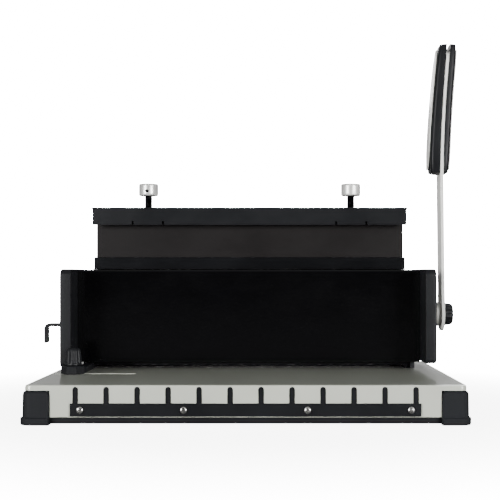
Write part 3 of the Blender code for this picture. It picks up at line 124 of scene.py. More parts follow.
class BinderColours(bpy.types.PropertyGroup):
    """Base colours of the finishes."""
    # painted shade: the base and the arm wear one ivory paint, and the base's copy is darkened to how that paint
    # looks in shade
    ivory: FloatVectorProperty(name="Ivory", description="The base's powder coat", subtype='COLOR',
                               default=(0.56, 0.58, 0.505))
    # painted light: the arm's copy of that same ivory is lightened to how it looks lit from above
    arm: FloatVectorProperty(name="Arm", description="The lever arm's coat", subtype='COLOR',
                             default=(0.95, 0.95, 0.9))
    rubber: FloatVectorProperty(name="Rubber", description="The corner boots", subtype='COLOR',
                                default=(0.0095, 0.0105, 0.0125))
    plastic: FloatVectorProperty(name="Plastic", description="Cheeks, knobs and grips", subtype='COLOR',
                                 default=(0.0065, 0.007, 0.0085))
    gloss: FloatVectorProperty(name="Gloss", description="The punch housing", subtype='COLOR',
                               default=(0.002, 0.002, 0.0024))
    closer: FloatVectorProperty(name="Closer", description="The closing panel's paint", subtype='COLOR',
                                default=(0.0065, 0.0052, 0.0052))
    steel: FloatVectorProperty(name="Steel", description="Ground tool steel", subtype='COLOR',
                               default=(0.58, 0.575, 0.56))
    nickel: FloatVectorProperty(name="Nickel", description="The thumb knobs", subtype='COLOR',
                                default=(0.84, 0.84, 0.81))
    bronze: FloatVectorProperty(name="Bronze", description="The shaft's bushes", subtype='COLOR',
                                default=(0.50, 0.33, 0.14))
    tray: FloatVectorProperty(name="Tray", description="The chip tray", subtype='COLOR',
                              default=(0.055, 0.057, 0.062))


SATIN_BLACK_SHINE = 0.2          # specular level of the black paints and plastics
COAT_ROUGHNESS = 0.07
FINISH_SUFFIX = "_finish"        # keeps these apart from the frame's own materials


# ---------------------------------------------------------------- finishes

def node_group(name, inputs, outputs):
    group = bpy.data.node_groups.new(name, 'ShaderNodeTree')
    for socket, kind, value in inputs:
        made = group.interface.new_socket(socket, in_out='INPUT', socket_type=kind)
        made.default_value = value
    for socket, kind in outputs:
        group.interface.new_socket(socket, in_out='OUTPUT', socket_type=kind)
    return group, group.nodes.new('NodeGroupInput'), group.nodes.new('NodeGroupOutput')


def add_node(tree, kind, **settings):
    node = tree.nodes.new(kind)
    for key, value in settings.items():
        setattr(node, key, value)
    return node


def math_node(tree, operation, first, second):
    """A Math node; each input is a socket or a number."""
    node = add_node(tree, 'ShaderNodeMath', operation=operation)
    for socket, value in zip(node.inputs, (first, second)):
        if isinstance(value, (int, float)):
            socket.default_value = value
        else:
            tree.links.new(value, socket)
    return node.outputs[0]


def stretched_noise(tree, scale, stretch, detail=3.0, roughness=0.55):
    """Noise over Object coordinates; scale is a socket or a number, stretch its shares along X, Y, Z."""
    place = add_node(tree, 'ShaderNodeTexCoord')
    mapping = add_node(tree, 'ShaderNodeMapping')
    mapping.inputs["Scale"].default_value = stretch
    noise = add_node(tree, 'ShaderNodeTexNoise')
    noise.inputs["Detail"].default_value = detail
    noise.inputs["Roughness"].default_value = roughness
    tree.links.new(place.outputs["Object"], mapping.inputs["Vector"])
    tree.links.new(mapping.outputs["Vector"], noise.inputs["Vector"])
    if isinstance(scale, (int, float)):
        noise.inputs["Scale"].default_value = scale
    else:
        tree.links.new(scale, noise.inputs["Scale"])
    return noise.outputs["Fac"]


def step_up(tree, value, low, high):
    node = add_node(tree, 'ShaderNodeMapRange', interpolation_type='SMOOTHSTEP')
    for socket, amount in (("Value", value), ("From Min", low), ("From Max", high)):
        if isinstance(amount, (int, float)):
            node.inputs[socket].default_value = amount
        else:
            tree.links.new(amount, node.inputs[socket])
    return node.outputs["Result"]


def make_edge_wear():
    """A mask along rubbed edges, broken up so that it isn't a line."""
    group, given, out = node_group(
        "Edge wear", [("Radius", 'NodeSocketFloat', 0.0006), ("Amount", 'NodeSocketFloat', 0.5)],
        [("Mask", 'NodeSocketFloat')])
    bevel = add_node(group, 'ShaderNodeBevel', samples=4)
    group.links.new(given.outputs["Radius"], bevel.inputs["Radius"])
    geometry = add_node(group, 'ShaderNodeNewGeometry')
    dot = add_node(group, 'ShaderNodeVectorMath', operation='DOT_PRODUCT')
    group.links.new(bevel.outputs["Normal"], dot.inputs[0])
    group.links.new(geometry.outputs["Normal"], dot.inputs[1])
    edge = step_up(group, math_node(group, 'SUBTRACT', 1.0, dot.outputs["Value"]), 0.01, 0.16)
    broken = step_up(group, stretched_noise(group, 260.0, (1, 1, 1), 4.0), 0.46, 0.66)
    mask = math_node(group, 'MULTIPLY', edge, broken)
    group.links.new(math_node(group, 'MULTIPLY', mask, given.outputs["Amount"]), out.inputs["Mask"])
    return group


def make_grain():
    """A fine height for the surface's texture, and a slow patchiness for its shade and gloss."""
    group, given, out = node_group(
        "Grain", [("Scale", 'NodeSocketFloat', 900.0), ("Patch scale", 'NodeSocketFloat', 16.0)],
        [("Height", 'NodeSocketFloat'), ("Patch", 'NodeSocketFloat')])
    fine = stretched_noise(group, given.outputs["Scale"], (1, 1, 1), 2.0)
    slow = stretched_noise(group, given.outputs["Patch scale"], (1, 1, 1.6), 4.0, 0.6)
    group.links.new(fine, out.inputs["Height"])
    group.links.new(slow, out.inputs["Patch"])
    return group


def make_brushing():
    """Long fine scratches along X, as grinding leaves on a bar."""
    group, given, out = node_group(
        "Brushing", [("Scale", 'NodeSocketFloat', 900.0)],
        [("Height", 'NodeSocketFloat'), ("Patch", 'NodeSocketFloat')])
    lines = stretched_noise(group, given.outputs["Scale"], (0.03, 1, 1), 5.0, 0.7)
    slow = stretched_noise(group, 22.0, (0.4, 1, 1), 3.0, 0.6)
    group.links.new(lines, out.inputs["Height"])
    group.links.new(slow, out.inputs["Patch"])
    return group


# slot: colour, roughness, metallic, texture group, its scale, bump height in mm, patchiness,
# worn colour, wear, coat
FINISHES = {
    # ivory_paint and arm_ivory are one paint in two copies: ivory_paint is the darker copy, painted shade, and
    # arm_ivory the lighter copy, painted light
    "ivory_paint": ("ivory", 0.38, 0.0, "Grain", 700.0, 0.008, 0.05, (0.46, 0.46, 0.41), 0.2, 1.0),
    "arm_ivory": ("arm", 0.32, 0.0, "Grain", 800.0, 0.016, 0.05, (0.5, 0.5, 0.45), 0.25, 0.35),
    "base_black": ("plastic", 0.45, 0.0, "Grain", 900.0, 0.02, 0.2, (0.03, 0.03, 0.03), 0.3, 0.0),
    "rubber_black": ("rubber", 0.72, 0.0, "Grain", 1500.0, 0.05, 0.35, (0.035, 0.036, 0.039), 0.5, 0.0),
    "rail_black": ("plastic", 0.40, 0.0, "Grain", 1100.0, 0.02, 0.2, (0.05, 0.05, 0.05), 0.35, 0.0),
    "bright_screw": ("steel", 0.26, 1.0, "Grain", 2200.0, 0.010, 0.15, (0.75, 0.75, 0.72), 0.4, 0.0),
    "tray_grey": ("tray", 0.55, 0.0, "Grain", 1400.0, 0.035, 0.2, (0.12, 0.12, 0.12), 0.4, 0.0),
    "tool_steel": ("steel", 0.34, 1.0, "Brushing", 1400.0, 0.012, 0.2, (0.72, 0.72, 0.70), 0.5, 0.0),
    "spring_steel": ("steel", 0.30, 1.0, "Grain", 1800.0, 0.008, 0.2, (0.7, 0.7, 0.7), 0.2, 0.0),
    "frame_steel": ("plastic", 0.42, 0.3, "Grain", 900.0, 0.025, 0.2, (0.2, 0.2, 0.2), 0.4, 0.0),
    "cam_steel": ("plastic", 0.36, 0.8, "Brushing", 1100.0, 0.012, 0.3, (0.4, 0.4, 0.4), 0.6, 0.0),
    "bush_bronze": ("bronze", 0.36, 1.0, "Brushing", 1400.0, 0.010, 0.2, (0.7, 0.5, 0.25), 0.4, 0.0),
    "housing_gloss": ("gloss", 0.16, 0.0, "Grain", 500.0, 0.003, 0.12, (0.02, 0.02, 0.02), 0.2, 0.0),
    "cheek_plastic": ("plastic", 0.48, 0.0, "Grain", 1600.0, 0.045, 0.2, (0.035, 0.035, 0.038), 0.35, 0.0),
    "panel_brown_black": ("closer", 0.46, 0.0, "Grain", 1000.0, 0.02, 0.2, (0.04, 0.035, 0.035), 0.3, 0.0),
    "beam_black": ("plastic", 0.40, 0.0, "Grain", 1000.0, 0.02, 0.2, (0.06, 0.06, 0.06), 0.4, 0.0),
    "stud_black": ("plastic", 0.34, 0.9, "Grain", 1800.0, 0.008, 0.3, (0.4, 0.4, 0.4), 0.7, 0.0),
    "knob_nickel": ("nickel", 0.36, 0.55, "Grain", 2000.0, 0.008, 0.12, (0.85, 0.85, 0.82), 0.4, 0.0),
    "lever_black": ("plastic", 0.38, 0.4, "Grain", 1100.0, 0.015, 0.2, (0.25, 0.25, 0.25), 0.5, 0.1),
    "knob_plastic": ("plastic", 0.42, 0.0, "Grain", 1500.0, 0.035, 0.2, (0.04, 0.04, 0.042), 0.4, 0.0),
}


def make_finish(slot, colours, groups):
    colour_name, roughness, metallic, texture, scale, bump, patchiness, worn, wear, coat = FINISHES[slot]
    colour = tuple(getattr(colours, colour_name))
    material = bpy.data.materials.new(slot + FINISH_SUFFIX)
    material.use_nodes = True
    tree = material.node_tree
    shader = tree.nodes["Principled BSDF"]
    shader.inputs["Metallic"].default_value = metallic
    shader.inputs["Coat Weight"].default_value = coat
    shader.inputs["Coat Roughness"].default_value = COAT_ROUGHNESS
    shader.inputs["Specular IOR Level"].default_value = 0.5 if metallic or coat > 0.3 else SATIN_BLACK_SHINE
    surface = add_node(tree, 'ShaderNodeGroup', node_tree=groups[texture])
    surface.inputs["Scale"].default_value = scale
    rubbed = add_node(tree, 'ShaderNodeGroup', node_tree=groups["Edge wear"])
    rubbed.inputs["Amount"].default_value = wear
    patch = step_up(tree, surface.outputs["Patch"], 0.32, 0.68)
    shade = add_node(tree, 'ShaderNodeMix', data_type='RGBA')
    shade.inputs["A"].default_value = (*(c * (1 - patchiness / 2) for c in colour), 1)
    shade.inputs["B"].default_value = (*(c * (1 + patchiness / 2) for c in colour), 1)
    tree.links.new(patch, shade.inputs["Factor"])
    bare = add_node(tree, 'ShaderNodeMix', data_type='RGBA')
    bare.inputs["B"].default_value = (*worn, 1)
    tree.links.new(rubbed.outputs["Mask"], bare.inputs["Factor"])
    tree.links.new(shade.outputs["Result"], bare.inputs["A"])
    tree.links.new(bare.outputs["Result"], shader.inputs["Base Color"])
    gloss = math_node(tree, 'MULTIPLY_ADD', patch, 0.09)
    gloss.node.inputs[2].default_value = roughness - 0.045
    fine = math_node(tree, 'MULTIPLY', math_node(tree, 'SUBTRACT', surface.outputs["Height"], 0.5), 0.12)
    tree.links.new(math_node(tree, 'ADD', gloss, fine), shader.inputs["Roughness"])
    relief = add_node(tree, 'ShaderNodeBump')
    relief.inputs["Strength"].default_value = 0.6
    relief.inputs["Distance"].default_value = bump * MM
    tree.links.new(surface.outputs["Height"], relief.inputs["Height"])
    tree.links.new(relief.outputs["Normal"], shader.inputs["Normal"])
    return material


# ---------------------------------------------------------------- modelling

def deselect():
    bpy.ops.object.select_all(action='DESELECT')


def take(obj):
    deselect()
    obj.select_set(True)
    bpy.context.view_layer.objects.active = obj


def edit(obj=None):
    if obj is not None:
        take(obj)
    bpy.ops.object.mode_set(mode='EDIT')
    bpy.ops.mesh.select_all(action='SELECT')


def leave():
    bpy.ops.object.mode_set(mode='OBJECT')


def pick(test, kind='VERT'):
    """In edit mode, selects just the vertices, edges or faces that pass a test."""
    bpy.ops.mesh.select_mode(type=kind)
    bpy.ops.mesh.select_all(action='DESELECT')
    mesh = bpy.context.edit_object.data
    shape = bmesh.from_edit_mesh(mesh)
    for item in {'VERT': shape.verts, 'EDGE': shape.edges, 'FACE': shape.faces}[kind]:
        if test(item):
            item.select_set(True)
    shape.select_flush_mode()
    bmesh.update_edit_mesh(mesh)


def apply_modifier(obj, kind, **settings):
    take(obj)
    modifier = obj.modifiers.new(kind.title(), kind)
    for key, value in settings.items():
        setattr(modifier, key, value)
    bpy.ops.object.modifier_apply(modifier=modifier.name)


def smooth(obj, angle=38):
    take(obj)
    bpy.ops.object.shade_smooth_by_angle(angle=math.radians(angle))


def outward(obj):
    edit(obj)
    bpy.ops.mesh.remove_doubles(threshold=1e-6)
    bpy.ops.mesh.normals_make_consistent(inside=False)
    leave()


def settle(obj, turn=None, place=None):
    """Turns a piece from its making pose, puts it in place, and applies both to its mesh."""
    take(obj)
    if turn is not None:
        obj.rotation_euler = turn
    if place is not None:
        obj.location = place
    bpy.ops.object.transform_apply(location=True, rotation=True, scale=True)


def turned(name, profile, count):
    """A piece turned about Z: a disc extruded and resized through (radius, height) pairs in mm."""
    radius, height = profile[0]
    deselect()
    bpy.ops.mesh.primitive_circle_add(vertices=count, radius=radius * MM, fill_type='NGON')
    obj = bpy.context.object
    obj.name = name
    edit()
    bpy.ops.transform.translate(value=(0, 0, height * MM))
    for next_radius, next_height in profile[1:]:
        bpy.ops.mesh.extrude_region_move(
            TRANSFORM_OT_translate={"value": (0, 0, (next_height - height) * MM)})
        grow = next_radius / radius
        bpy.ops.transform.resize(value=(grow, grow, 1), center_override=(0, 0, next_height * MM))
        radius, height = next_radius, next_height
    leave()
    outward(obj)
    return obj


def bar(name, size, place, soft=0.0):
    """A bar of that size in mm, its edges rounded by bevelling."""
    deselect()
    bpy.ops.mesh.primitive_cube_add(size=1, location=place, scale=[s * MM for s in size])
    obj = bpy.context.object
    obj.name = name
    bpy.ops.object.transform_apply(location=True, rotation=True, scale=True)
    if soft:
        edit()
        bpy.ops.mesh.bevel(offset=soft * MM, segments=2)
        leave()
    return obj


def copy_of(obj, name):
    twin = bpy.data.objects.new(name, obj.data.copy())
    bpy.context.scene.collection.objects.link(twin)
    return twin


def join(objects, name):
    deselect()
    for obj in objects:
        obj.select_set(True)
    bpy.context.view_layer.objects.active = objects[0]
    bpy.ops.object.join()
    objects[0].name = name
    return objects[0]


def finish(piece, slot, body, *replaced):
    """Gives a piece its finish and body, and says which CAD nodes it stands for."""
    piece.data.materials.clear()
    piece.data.materials.append(bpy.data.materials[slot + FINISH_SUFFIX])
    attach(piece, body)
    if replaced:
        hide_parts(*replaced)
    return piece


def softened(node, width, limit=30.0, segments=2):
    """A copy of a CAD piece, its triangles joined and its edges rounded, in the node's place."""
    obj = copy_of(NODES[node], f"{node}_made")
    edit(obj)
    bpy.ops.mesh.customdata_custom_splitnormals_clear()
    bpy.ops.mesh.remove_doubles(threshold=2e-6)
    bpy.ops.mesh.dissolve_limited(angle_limit=math.radians(0.6))
    leave()
    apply_modifier(obj, 'BEVEL', width=width, segments=segments, limit_method='ANGLE',
                   angle_limit=math.radians(limit), use_clamp_overlap=True)
    smooth(obj)
    apply_modifier(obj, 'WEIGHTED_NORMAL', keep_sharp=True)
    return finish(obj, SLOT_OF[node], BODY_OF[node], node)


# ---------------------------------------------------------------- pieces

class BINDER_OT_finishes(bpy.types.Operator):
    """Makes every finish and gives each CAD piece its own"""
    bl_idname = "binder.finishes"
    bl_label = "Finishes"

    def execute(self, context):
        groups = {"Edge wear": make_edge_wear(), "Grain": make_grain(), "Brushing": make_brushing()}
        finishes = {slot: make_finish(slot, context.scene.binder_colours, groups) for slot in FINISHES}
        for node, slot in SLOT_OF.items():
            NODES[node].material_slots[0].material = finishes[slot]
        return {'FINISHED'}


class BINDER_OT_base(bpy.types.Operator):
    """Rounds the base's shell and pan, the boots, the chip tray and the wire rail"""
    bl_idname = "binder.base"
    bl_label = "Base"

    def execute(self, context):
        soft = context.scene.binder_sizes.soft_edge
        softened("base_shell", 1.8 * soft, 50.0, 3)
        softened("base_pan", soft)
        softened("chip_tray", soft, 50.0)
        softened("wire_holder", 0.7 * soft, 50.0)
        for end in ("front", "rear"):
            for side, _ in SIDES:
                softened(f"foot_{end}_{side}", soft, 60.0)
        return {'FINISHED'}


def screw_master():
    """A pan-head screw with a cross recess, head up, 6 mm across."""
    head = turned("screw_master", [(1.6, -2.2), (1.6, 0.0), (3.0, 0.0), (3.0, 0.45), (2.85, 0.85),
                                   (2.4, 1.25), (1.7, 1.52), (0.8, 1.66)], 24)
    arms = [bar("recess", size, Vector((0, 0, 1.5 * MM)))
            for size in ((3.4, 0.72, 1.7), (0.72, 3.4, 1.7))]
    for arm in arms:
        apply_modifier(head, 'BOOLEAN', operation='DIFFERENCE', solver='EXACT', object=arm)
        bpy.data.objects.remove(arm)
    outward(head)
    return head


def screw_rows():
    """Every screw that shows: name, place of its head's underside, turn, share of 6 mm, slot, body, node."""
    quarter = math.pi / 2
    rows = []
    for number in range(1, 5):
        low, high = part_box(f"rail_screw_{number}")
        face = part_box("wire_holder")[0].y
        place = ((low.x + high.x) / 2, face - SHIM, (low.z + high.z) / 2)
        rows.append((f"rail_screw_head_{number}", place, (quarter, 0.3 * number, 0), 1.0,
                     "bright_screw", "base", f"rail_screw_{number}"))
    for side, way in SIDES:
        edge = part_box(f"cheek_{side}")[0 if way < 0 else 1].x
        for number, (y, z) in enumerate(CHEEK_SCREWS, 1):
            rows.append((f"cheek_screw_{side}_{number}", (edge - way * 3.7 * MM, y * MM, z * MM),
                         (0, way * quarter, 0), 1.0, "stud_black", "base", None))
        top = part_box("front_cover")[1].z
        for end, y in (("front", 44), ("rear", 102)):
            rows.append((f"cover_screw_{end}_{side}", (*place_of(way * 149, y, 0).xy, top + 0.1 * MM),
                         (0, 0, 0.4), 0.9, "stud_black", "base", None))
        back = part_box("closer_beam")[1].y
        for number, z in enumerate((179.0, 185.7), 1):
            across = place_of(way * 150, 0, z).x
            rows.append((f"beam_screw_{side}_{number}", (across, back, z * MM),
                         (-quarter, 0, 0.5), 0.55, "stud_black", "closer", None))
    return rows


class BINDER_OT_screws(bpy.types.Operator):
    """Places the cross-head screws of the rail, cheeks, covers and beam"""
    bl_idname = "binder.screws"
    bl_label = "Screws"

    def execute(self, context):
        master = screw_master()
        for name, place, turn, share, slot, body, node in screw_rows():
            screw = copy_of(master, name)
            screw.scale = (share,) * 3
            settle(screw, turn, place)
            smooth(screw, 30)
            finish(screw, slot, body, *([node] if node else []))
        bpy.data.objects.remove(master)
        return {'FINISHED'}


class BINDER_OT_housing(bpy.types.Operator):
    """Rounds the covers, the cheeks and the steel parts that show in the throat"""
    bl_idname = "binder.housing"
    bl_label = "Housing"

    def execute(self, context):
        soft = context.scene.binder_sizes.soft_edge
        for node in ("front_cover", "rear_cover", "side_frame_left", "side_frame_right"):
            softened(node, 0.8 * soft, 50.0)
        for side, _ in SIDES:
            softened(f"cheek_{side}", soft, 50.0)
        for node in ("stripper_plate", "die_plate", "punch_bar", "depth_stop"):
            softened(node, 0.4 * soft, 60.0, 1)
        return {'FINISHED'}


class BINDER_OT_springs(bpy.types.Operator):
    """Winds the four springs"""
    bl_idname = "binder.springs"
    bl_label = "Springs"

    def execute(self, context):
        wire = context.scene.binder_sizes.spring_wire
        for kind, joint, radius in (("return", "punch_travel", 5.0), ("lift", "closer_travel", 3.6)):
            for side, _ in SIDES:
                node = f"{kind}_spring_{side}"
                low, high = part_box(node)
                centre = (low + high) / 2
                deselect()
                bpy.ops.mesh.primitive_circle_add(vertices=8, radius=wire, fill_type='NOTHING',
                                                  location=(radius * MM, 0, 0), rotation=(math.pi / 2, 0, 0))
                spring = bpy.context.object
                spring.name = f"{kind}_coil_{side}"
                bpy.ops.object.transform_apply(location=True, rotation=True, scale=True)
                length = high.z - low.z - 2 * wire
                apply_modifier(spring, 'SCREW', angle=2 * math.pi, screw_offset=length / SPRING_TURNS,
                               iterations=SPRING_TURNS, steps=20, render_steps=20, axis='Z')
                edit(spring)
                bpy.ops.mesh.remove_doubles(threshold=1e-6)
                pick(lambda item: item.is_boundary, 'EDGE')
                bpy.ops.mesh.fill_holes(sides=0)
                leave()
                outward(spring)
                settle(spring, None, (centre.x, centre.y, low.z + wire))
                smooth(spring, 60)
                finish(spring, "spring_steel", BODY_OF[node], node)
                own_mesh(spring)
        return {'FINISHED'}


class BINDER_OT_closer(bpy.types.Operator):
    """Rounds the closer's panel, platen, beam, press bar and pull plates"""
    bl_idname = "binder.closer"
    bl_label = "Wire closer"

    def execute(self, context):
        soft = context.scene.binder_sizes.soft_edge
        for node in ("closer_panel", "closer_platen", "closer_beam", "press_bar",
                     "pull_plate_left", "pull_plate_right"):
            softened(node, 0.6 * soft, 50.0)
        return {'FINISHED'}


def threaded_stud(name, node, pitch):
    """A true thread, drawn by the Screw modifier and cut level at both ends."""
    low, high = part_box(node)
    centre = (low + high) / 2
    crest = (high.x - low.x) / 2
    root = crest - THREAD_DEPTH * pitch
    deselect()
    bpy.ops.mesh.primitive_plane_add(size=1)
    stud = bpy.context.object
    stud.name = name
    start = THREAD_RUN_IN * pitch
    edit()
    pick(lambda item: item.co.x > 0 and item.co.y > 0)
    bpy.ops.mesh.delete(type='VERT')
    leave()
    line = sorted(stud.data.vertices, key=lambda item: item.co.x - item.co.y)
    for vertex, radius, height in zip(line, (root, crest, root), (0.0, 0.5, 1.0)):
        vertex.co = (radius, 0, height * pitch)
    turns = int((high.z - low.z) / pitch) + 3
    apply_modifier(stud, 'SCREW', angle=2 * math.pi, screw_offset=pitch, iterations=turns,
                   steps=24, render_steps=24, axis='Z', use_merge_vertices=True)
    outward(stud)
    edit()
    bpy.ops.mesh.bisect(plane_co=(0, 0, start), plane_no=(0, 0, -1), use_fill=True, clear_outer=True)
    bpy.ops.mesh.select_all(action='SELECT')
    bpy.ops.mesh.bisect(plane_co=(0, 0, start + high.z - low.z), plane_no=(0, 0, 1),
                        use_fill=True, clear_outer=True)
    leave()
    settle(stud, None, (centre.x, centre.y, low.z - start))
    outward(stud)
    smooth(stud, 25)
    return stud


def knurled_knob(name, node, depth):
    """A turned knob whose rim carries a diamond knurl, dished on top round the stud's end."""
    low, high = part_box(node)
    radius, tall = (high.x - low.x) / 2 / MM, (high.z - low.z) / MM
    rows, count, margin = 14, 96, 1.2
    rim = [(radius, margin + (tall - 2 * margin) * i / rows) for i in range(rows + 1)]
    profile = [(radius - 1.0, 0.0), (radius - 0.25, 0.5), *rim, (radius - 0.25, tall - 0.5),
               (radius - 1.0, tall), (4.9, tall), (4.5, tall - 0.9)]
    knob = turned(name, profile, count)
    edit(knob)

    def raised(vertex):
        row = (vertex.co.z / MM - margin) / (tall - 2 * margin) * rows
        column = math.atan2(vertex.co.y, vertex.co.x) / (2 * math.pi) * count
        if not 0.5 < row < rows - 0.5:
            return False
        return (round(row) + round(column)) % 2 == 0

    pick(lambda vertex: not raised(vertex) and 1.25 < vertex.co.z / MM < tall - 1.25)
    shrink = 1 - depth / MM / radius
    bpy.ops.transform.resize(value=(shrink, shrink, 1), center_override=(0, 0, 0))
    leave()
    settle(knob, None, ((low.x + high.x) / 2, (low.y + high.y) / 2, low.z))
    smooth(knob, 22)
    return knob


class BINDER_OT_thumb_screws(bpy.types.Operator):
    """Cuts the thumb screws' threads, knurls their knobs and sets their grub screws"""
    bl_idname = "binder.thumb_screws"
    bl_label = "Thumb screws"

    def execute(self, context):
        sizes = context.scene.binder_sizes
        for side, _ in SIDES:
            body = f"thumb_{side}"
            stud = threaded_stud(f"thread_{side}", f"thumb_stud_{side}", sizes.thread_pitch)
            finish(stud, "stud_black", body, f"thumb_stud_{side}")
            node = f"thumb_knob_{side}"
            knob = knurled_knob(f"knurled_knob_{side}", node, sizes.knurl_depth)
            hole = middle(node) - Vector((0, 0, GRUB_BELOW))
            turn = GRUB_TURN[side]
            aim = Vector((math.sin(turn), -math.cos(turn), 0))
            radius = (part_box(node)[1].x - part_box(node)[0].x) / 2
            facing = aim.to_track_quat('Z', 'Y').to_euler()
            drill = turned("drill", [(1.6, -5.0), (1.6, 3.0)], 20)
            settle(drill, facing, hole + aim * (radius - 0.5 * MM))
            apply_modifier(knob, 'BOOLEAN', operation='DIFFERENCE', solver='EXACT', object=drill)
            bpy.data.objects.remove(drill)
            smooth(knob, 22)
            finish(knob, "knob_nickel", body, node)
            grub = turned(f"grub_screw_{side}", [(1.2, 0.0), (1.45, 0.3), (1.45, 3.2), (1.2, 3.5),
                                                 (0.75, 3.5), (0.72, 2.2)], 18)
            settle(grub, facing, hole + aim * (radius - 6.2 * MM))
            smooth(grub)
            finish(grub, "stud_black", body)
        return {'FINISHED'}


def fluted_knob(name, radius, tall, flutes, depth, crown):
    """A moulded knob standing on Z, fluted from just above its foot to its crowned top, in mm."""
    count = flutes * 8
    profile = [(radius - 0.5, 0.0), (radius, 0.5), (radius, 1.8), (radius - 0.1, 2.3)]
    rows = 6
    profile += [(radius - 0.1 - crown * (i / rows) ** 1.5, 2.3 + (tall - 4.1) * i / rows)
                for i in range(1, rows + 1)]
    top = radius - 0.1 - crown
    profile += [(top - 0.35, tall - 1.1), (top - 1.0, tall - 0.45), (top - 2.0, tall - 0.1),
                (top - 3.0, tall), (0.45 * top, tall), (0.40 * top, tall - 0.35), (0.05 * top, tall - 0.4)]
    knob = turned(name, profile, count)
    edit(knob)
    for phase, share in ((0, 1.0), (1, 0.72), (7, 0.72), (2, 0.25), (6, 0.25)):
        def in_flute(vertex, phase=phase):
            if vertex.co.xy.length < (top - 1.6) * MM or vertex.co.z < 2.2 * MM:
                return False
            step = round(math.atan2(vertex.co.y, vertex.co.x) / (2 * math.pi) * count)
            return step % 8 == phase
        pick(in_flute)
        shrink = 1 - depth * share / radius
        bpy.ops.transform.resize(value=(shrink, shrink, 1), center_override=(0, 0, 0))
    leave()
    smooth(knob, 40)
    return knob


class BINDER_OT_controls(bpy.types.Operator):
    """Makes the guide's fluted knob, and rounds the edge guide and the margin lever"""
    bl_idname = "binder.controls"
    bl_label = "Guide and margin lever"

    def execute(self, context):
        sizes = context.scene.binder_sizes
        softened("edge_guide", sizes.soft_edge, 50.0)
        softened("margin_lever", 0.8 * sizes.soft_edge, 50.0)
        centre = middle("guide_knob")
        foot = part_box("edge_guide")[1].z + SHIM
        tall = (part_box("guide_knob")[1].z - foot) / MM
        knob = fluted_knob("guide_fluted_knob", 7.7, tall, 10, 0.85, 1.2)
        settle(knob, None, (centre.x, centre.y, foot))
        below = (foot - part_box("guide_knob")[0].z) / MM
        stem = turned("guide_stem", [(1.7, -below), (2.0, 0.4 - below), (2.0, 2.0)], 18)
        settle(stem, None, (centre.x, centre.y, foot))
        smooth(stem)
        knob = join([knob, stem], "guide_fluted_knob")
        finish(knob, "knob_plastic", "guide_clamp", "guide_knob")
        return {'FINISHED'}


class BINDER_OT_scale(bpy.types.Operator):
    """Prints a plain scale of tick marks beside the edge guide's slot"""
    bl_idname = "binder.scale"
    bl_label = "Scale"

    def execute(self, context):
        ticks = [bar("tick", (0.45, 5.0 if number % 5 == 0 else 3.0, 0.04),
                     Vector((CENTRE_X + SCALE_START + SCALE_STEP * number, SCALE_Y,
                             SHELL_HIGH.z + 0.02 * MM)))
                 for number in range(SCALE_TICKS)]
        scale = join(ticks, "paper_scale")
        finish(scale, "base_black", "base")
        return {'FINISHED'}


class BINDER_OT_lever(bpy.types.Operator):
    """Makes the lever's washers and its clamping knob, and rounds its arm and grip"""
    bl_idname = "binder.lever"
    bl_label = "Lever"

    def execute(self, context):
        sizes = context.scene.binder_sizes
        softened("handle_arm", 1.2 * sizes.soft_edge, 50.0)
        for side in ("inner", "outer"):
            softened(f"grip_{side}", 1.2 * sizes.soft_edge, 50.0, 3)
            softened(f"grip_inlay_{side}", 0.5 * sizes.soft_edge, 50.0)
        low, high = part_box("handle_boss")
        centre = (low + high) / 2
        radius, width = (high.z - low.z) / 2 / MM, (high.x - low.x) / MM
        third = width / 3
        profile = []
        for start in (0.0, third, 2 * third):
            profile += [(radius - 1.1, start + 0.05), (radius - 0.25, start + 0.3), (radius, start + 0.9),
                        (radius, start + third - 0.9), (radius - 0.25, start + third - 0.3),
                        (radius - 1.1, start + third - 0.05)]
        washers = turned("lever_washers", profile, 56)
        settle(washers, (0, math.pi / 2, 0), (low.x, centre.y, centre.z))
        smooth(washers, 50)
        finish(washers, "arm_ivory", "lever", "handle_boss")
        low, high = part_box("clamp_knob")
        centre = (low + high) / 2
        face = JOINTS["lever_swing"]["pos_m"][0] + 1.8 * MM
        tall = (high.x - face) / MM
        knob = fluted_knob("clamp_fluted_knob", (high.z - low.z) / 2 / MM, tall, sizes.flutes, 0.9, 0.7)
        below = (low.x - face) / MM
        stem = turned("clamp_stem", [(2.3, below), (2.7, below + 0.4), (2.7, 2.0)], 18)
        smooth(stem)
        knob = join([knob, stem], "clamp_fluted_knob")
        settle(knob, (0, math.pi / 2, 0), (face, centre.y, centre.z))
        finish(knob, "knob_plastic", "clamp", "clamp_knob")
        return {'FINISHED'}


# ---------------------------------------------------------------- stage

def add_light(name, place, aim, size, power):
    data = bpy.data.lights.new(name, 'AREA')
    data.shape = 'RECTANGLE'
    data.size, data.size_y = size
    data.energy = power
    light = bpy.data.objects.new(name, data)
    light.location = place
    light.rotation_euler = (Vector(aim) - Vector(place)).to_track_quat('-Z', 'Y').to_euler()
    bpy.context.scene.collection.objects.link(light)


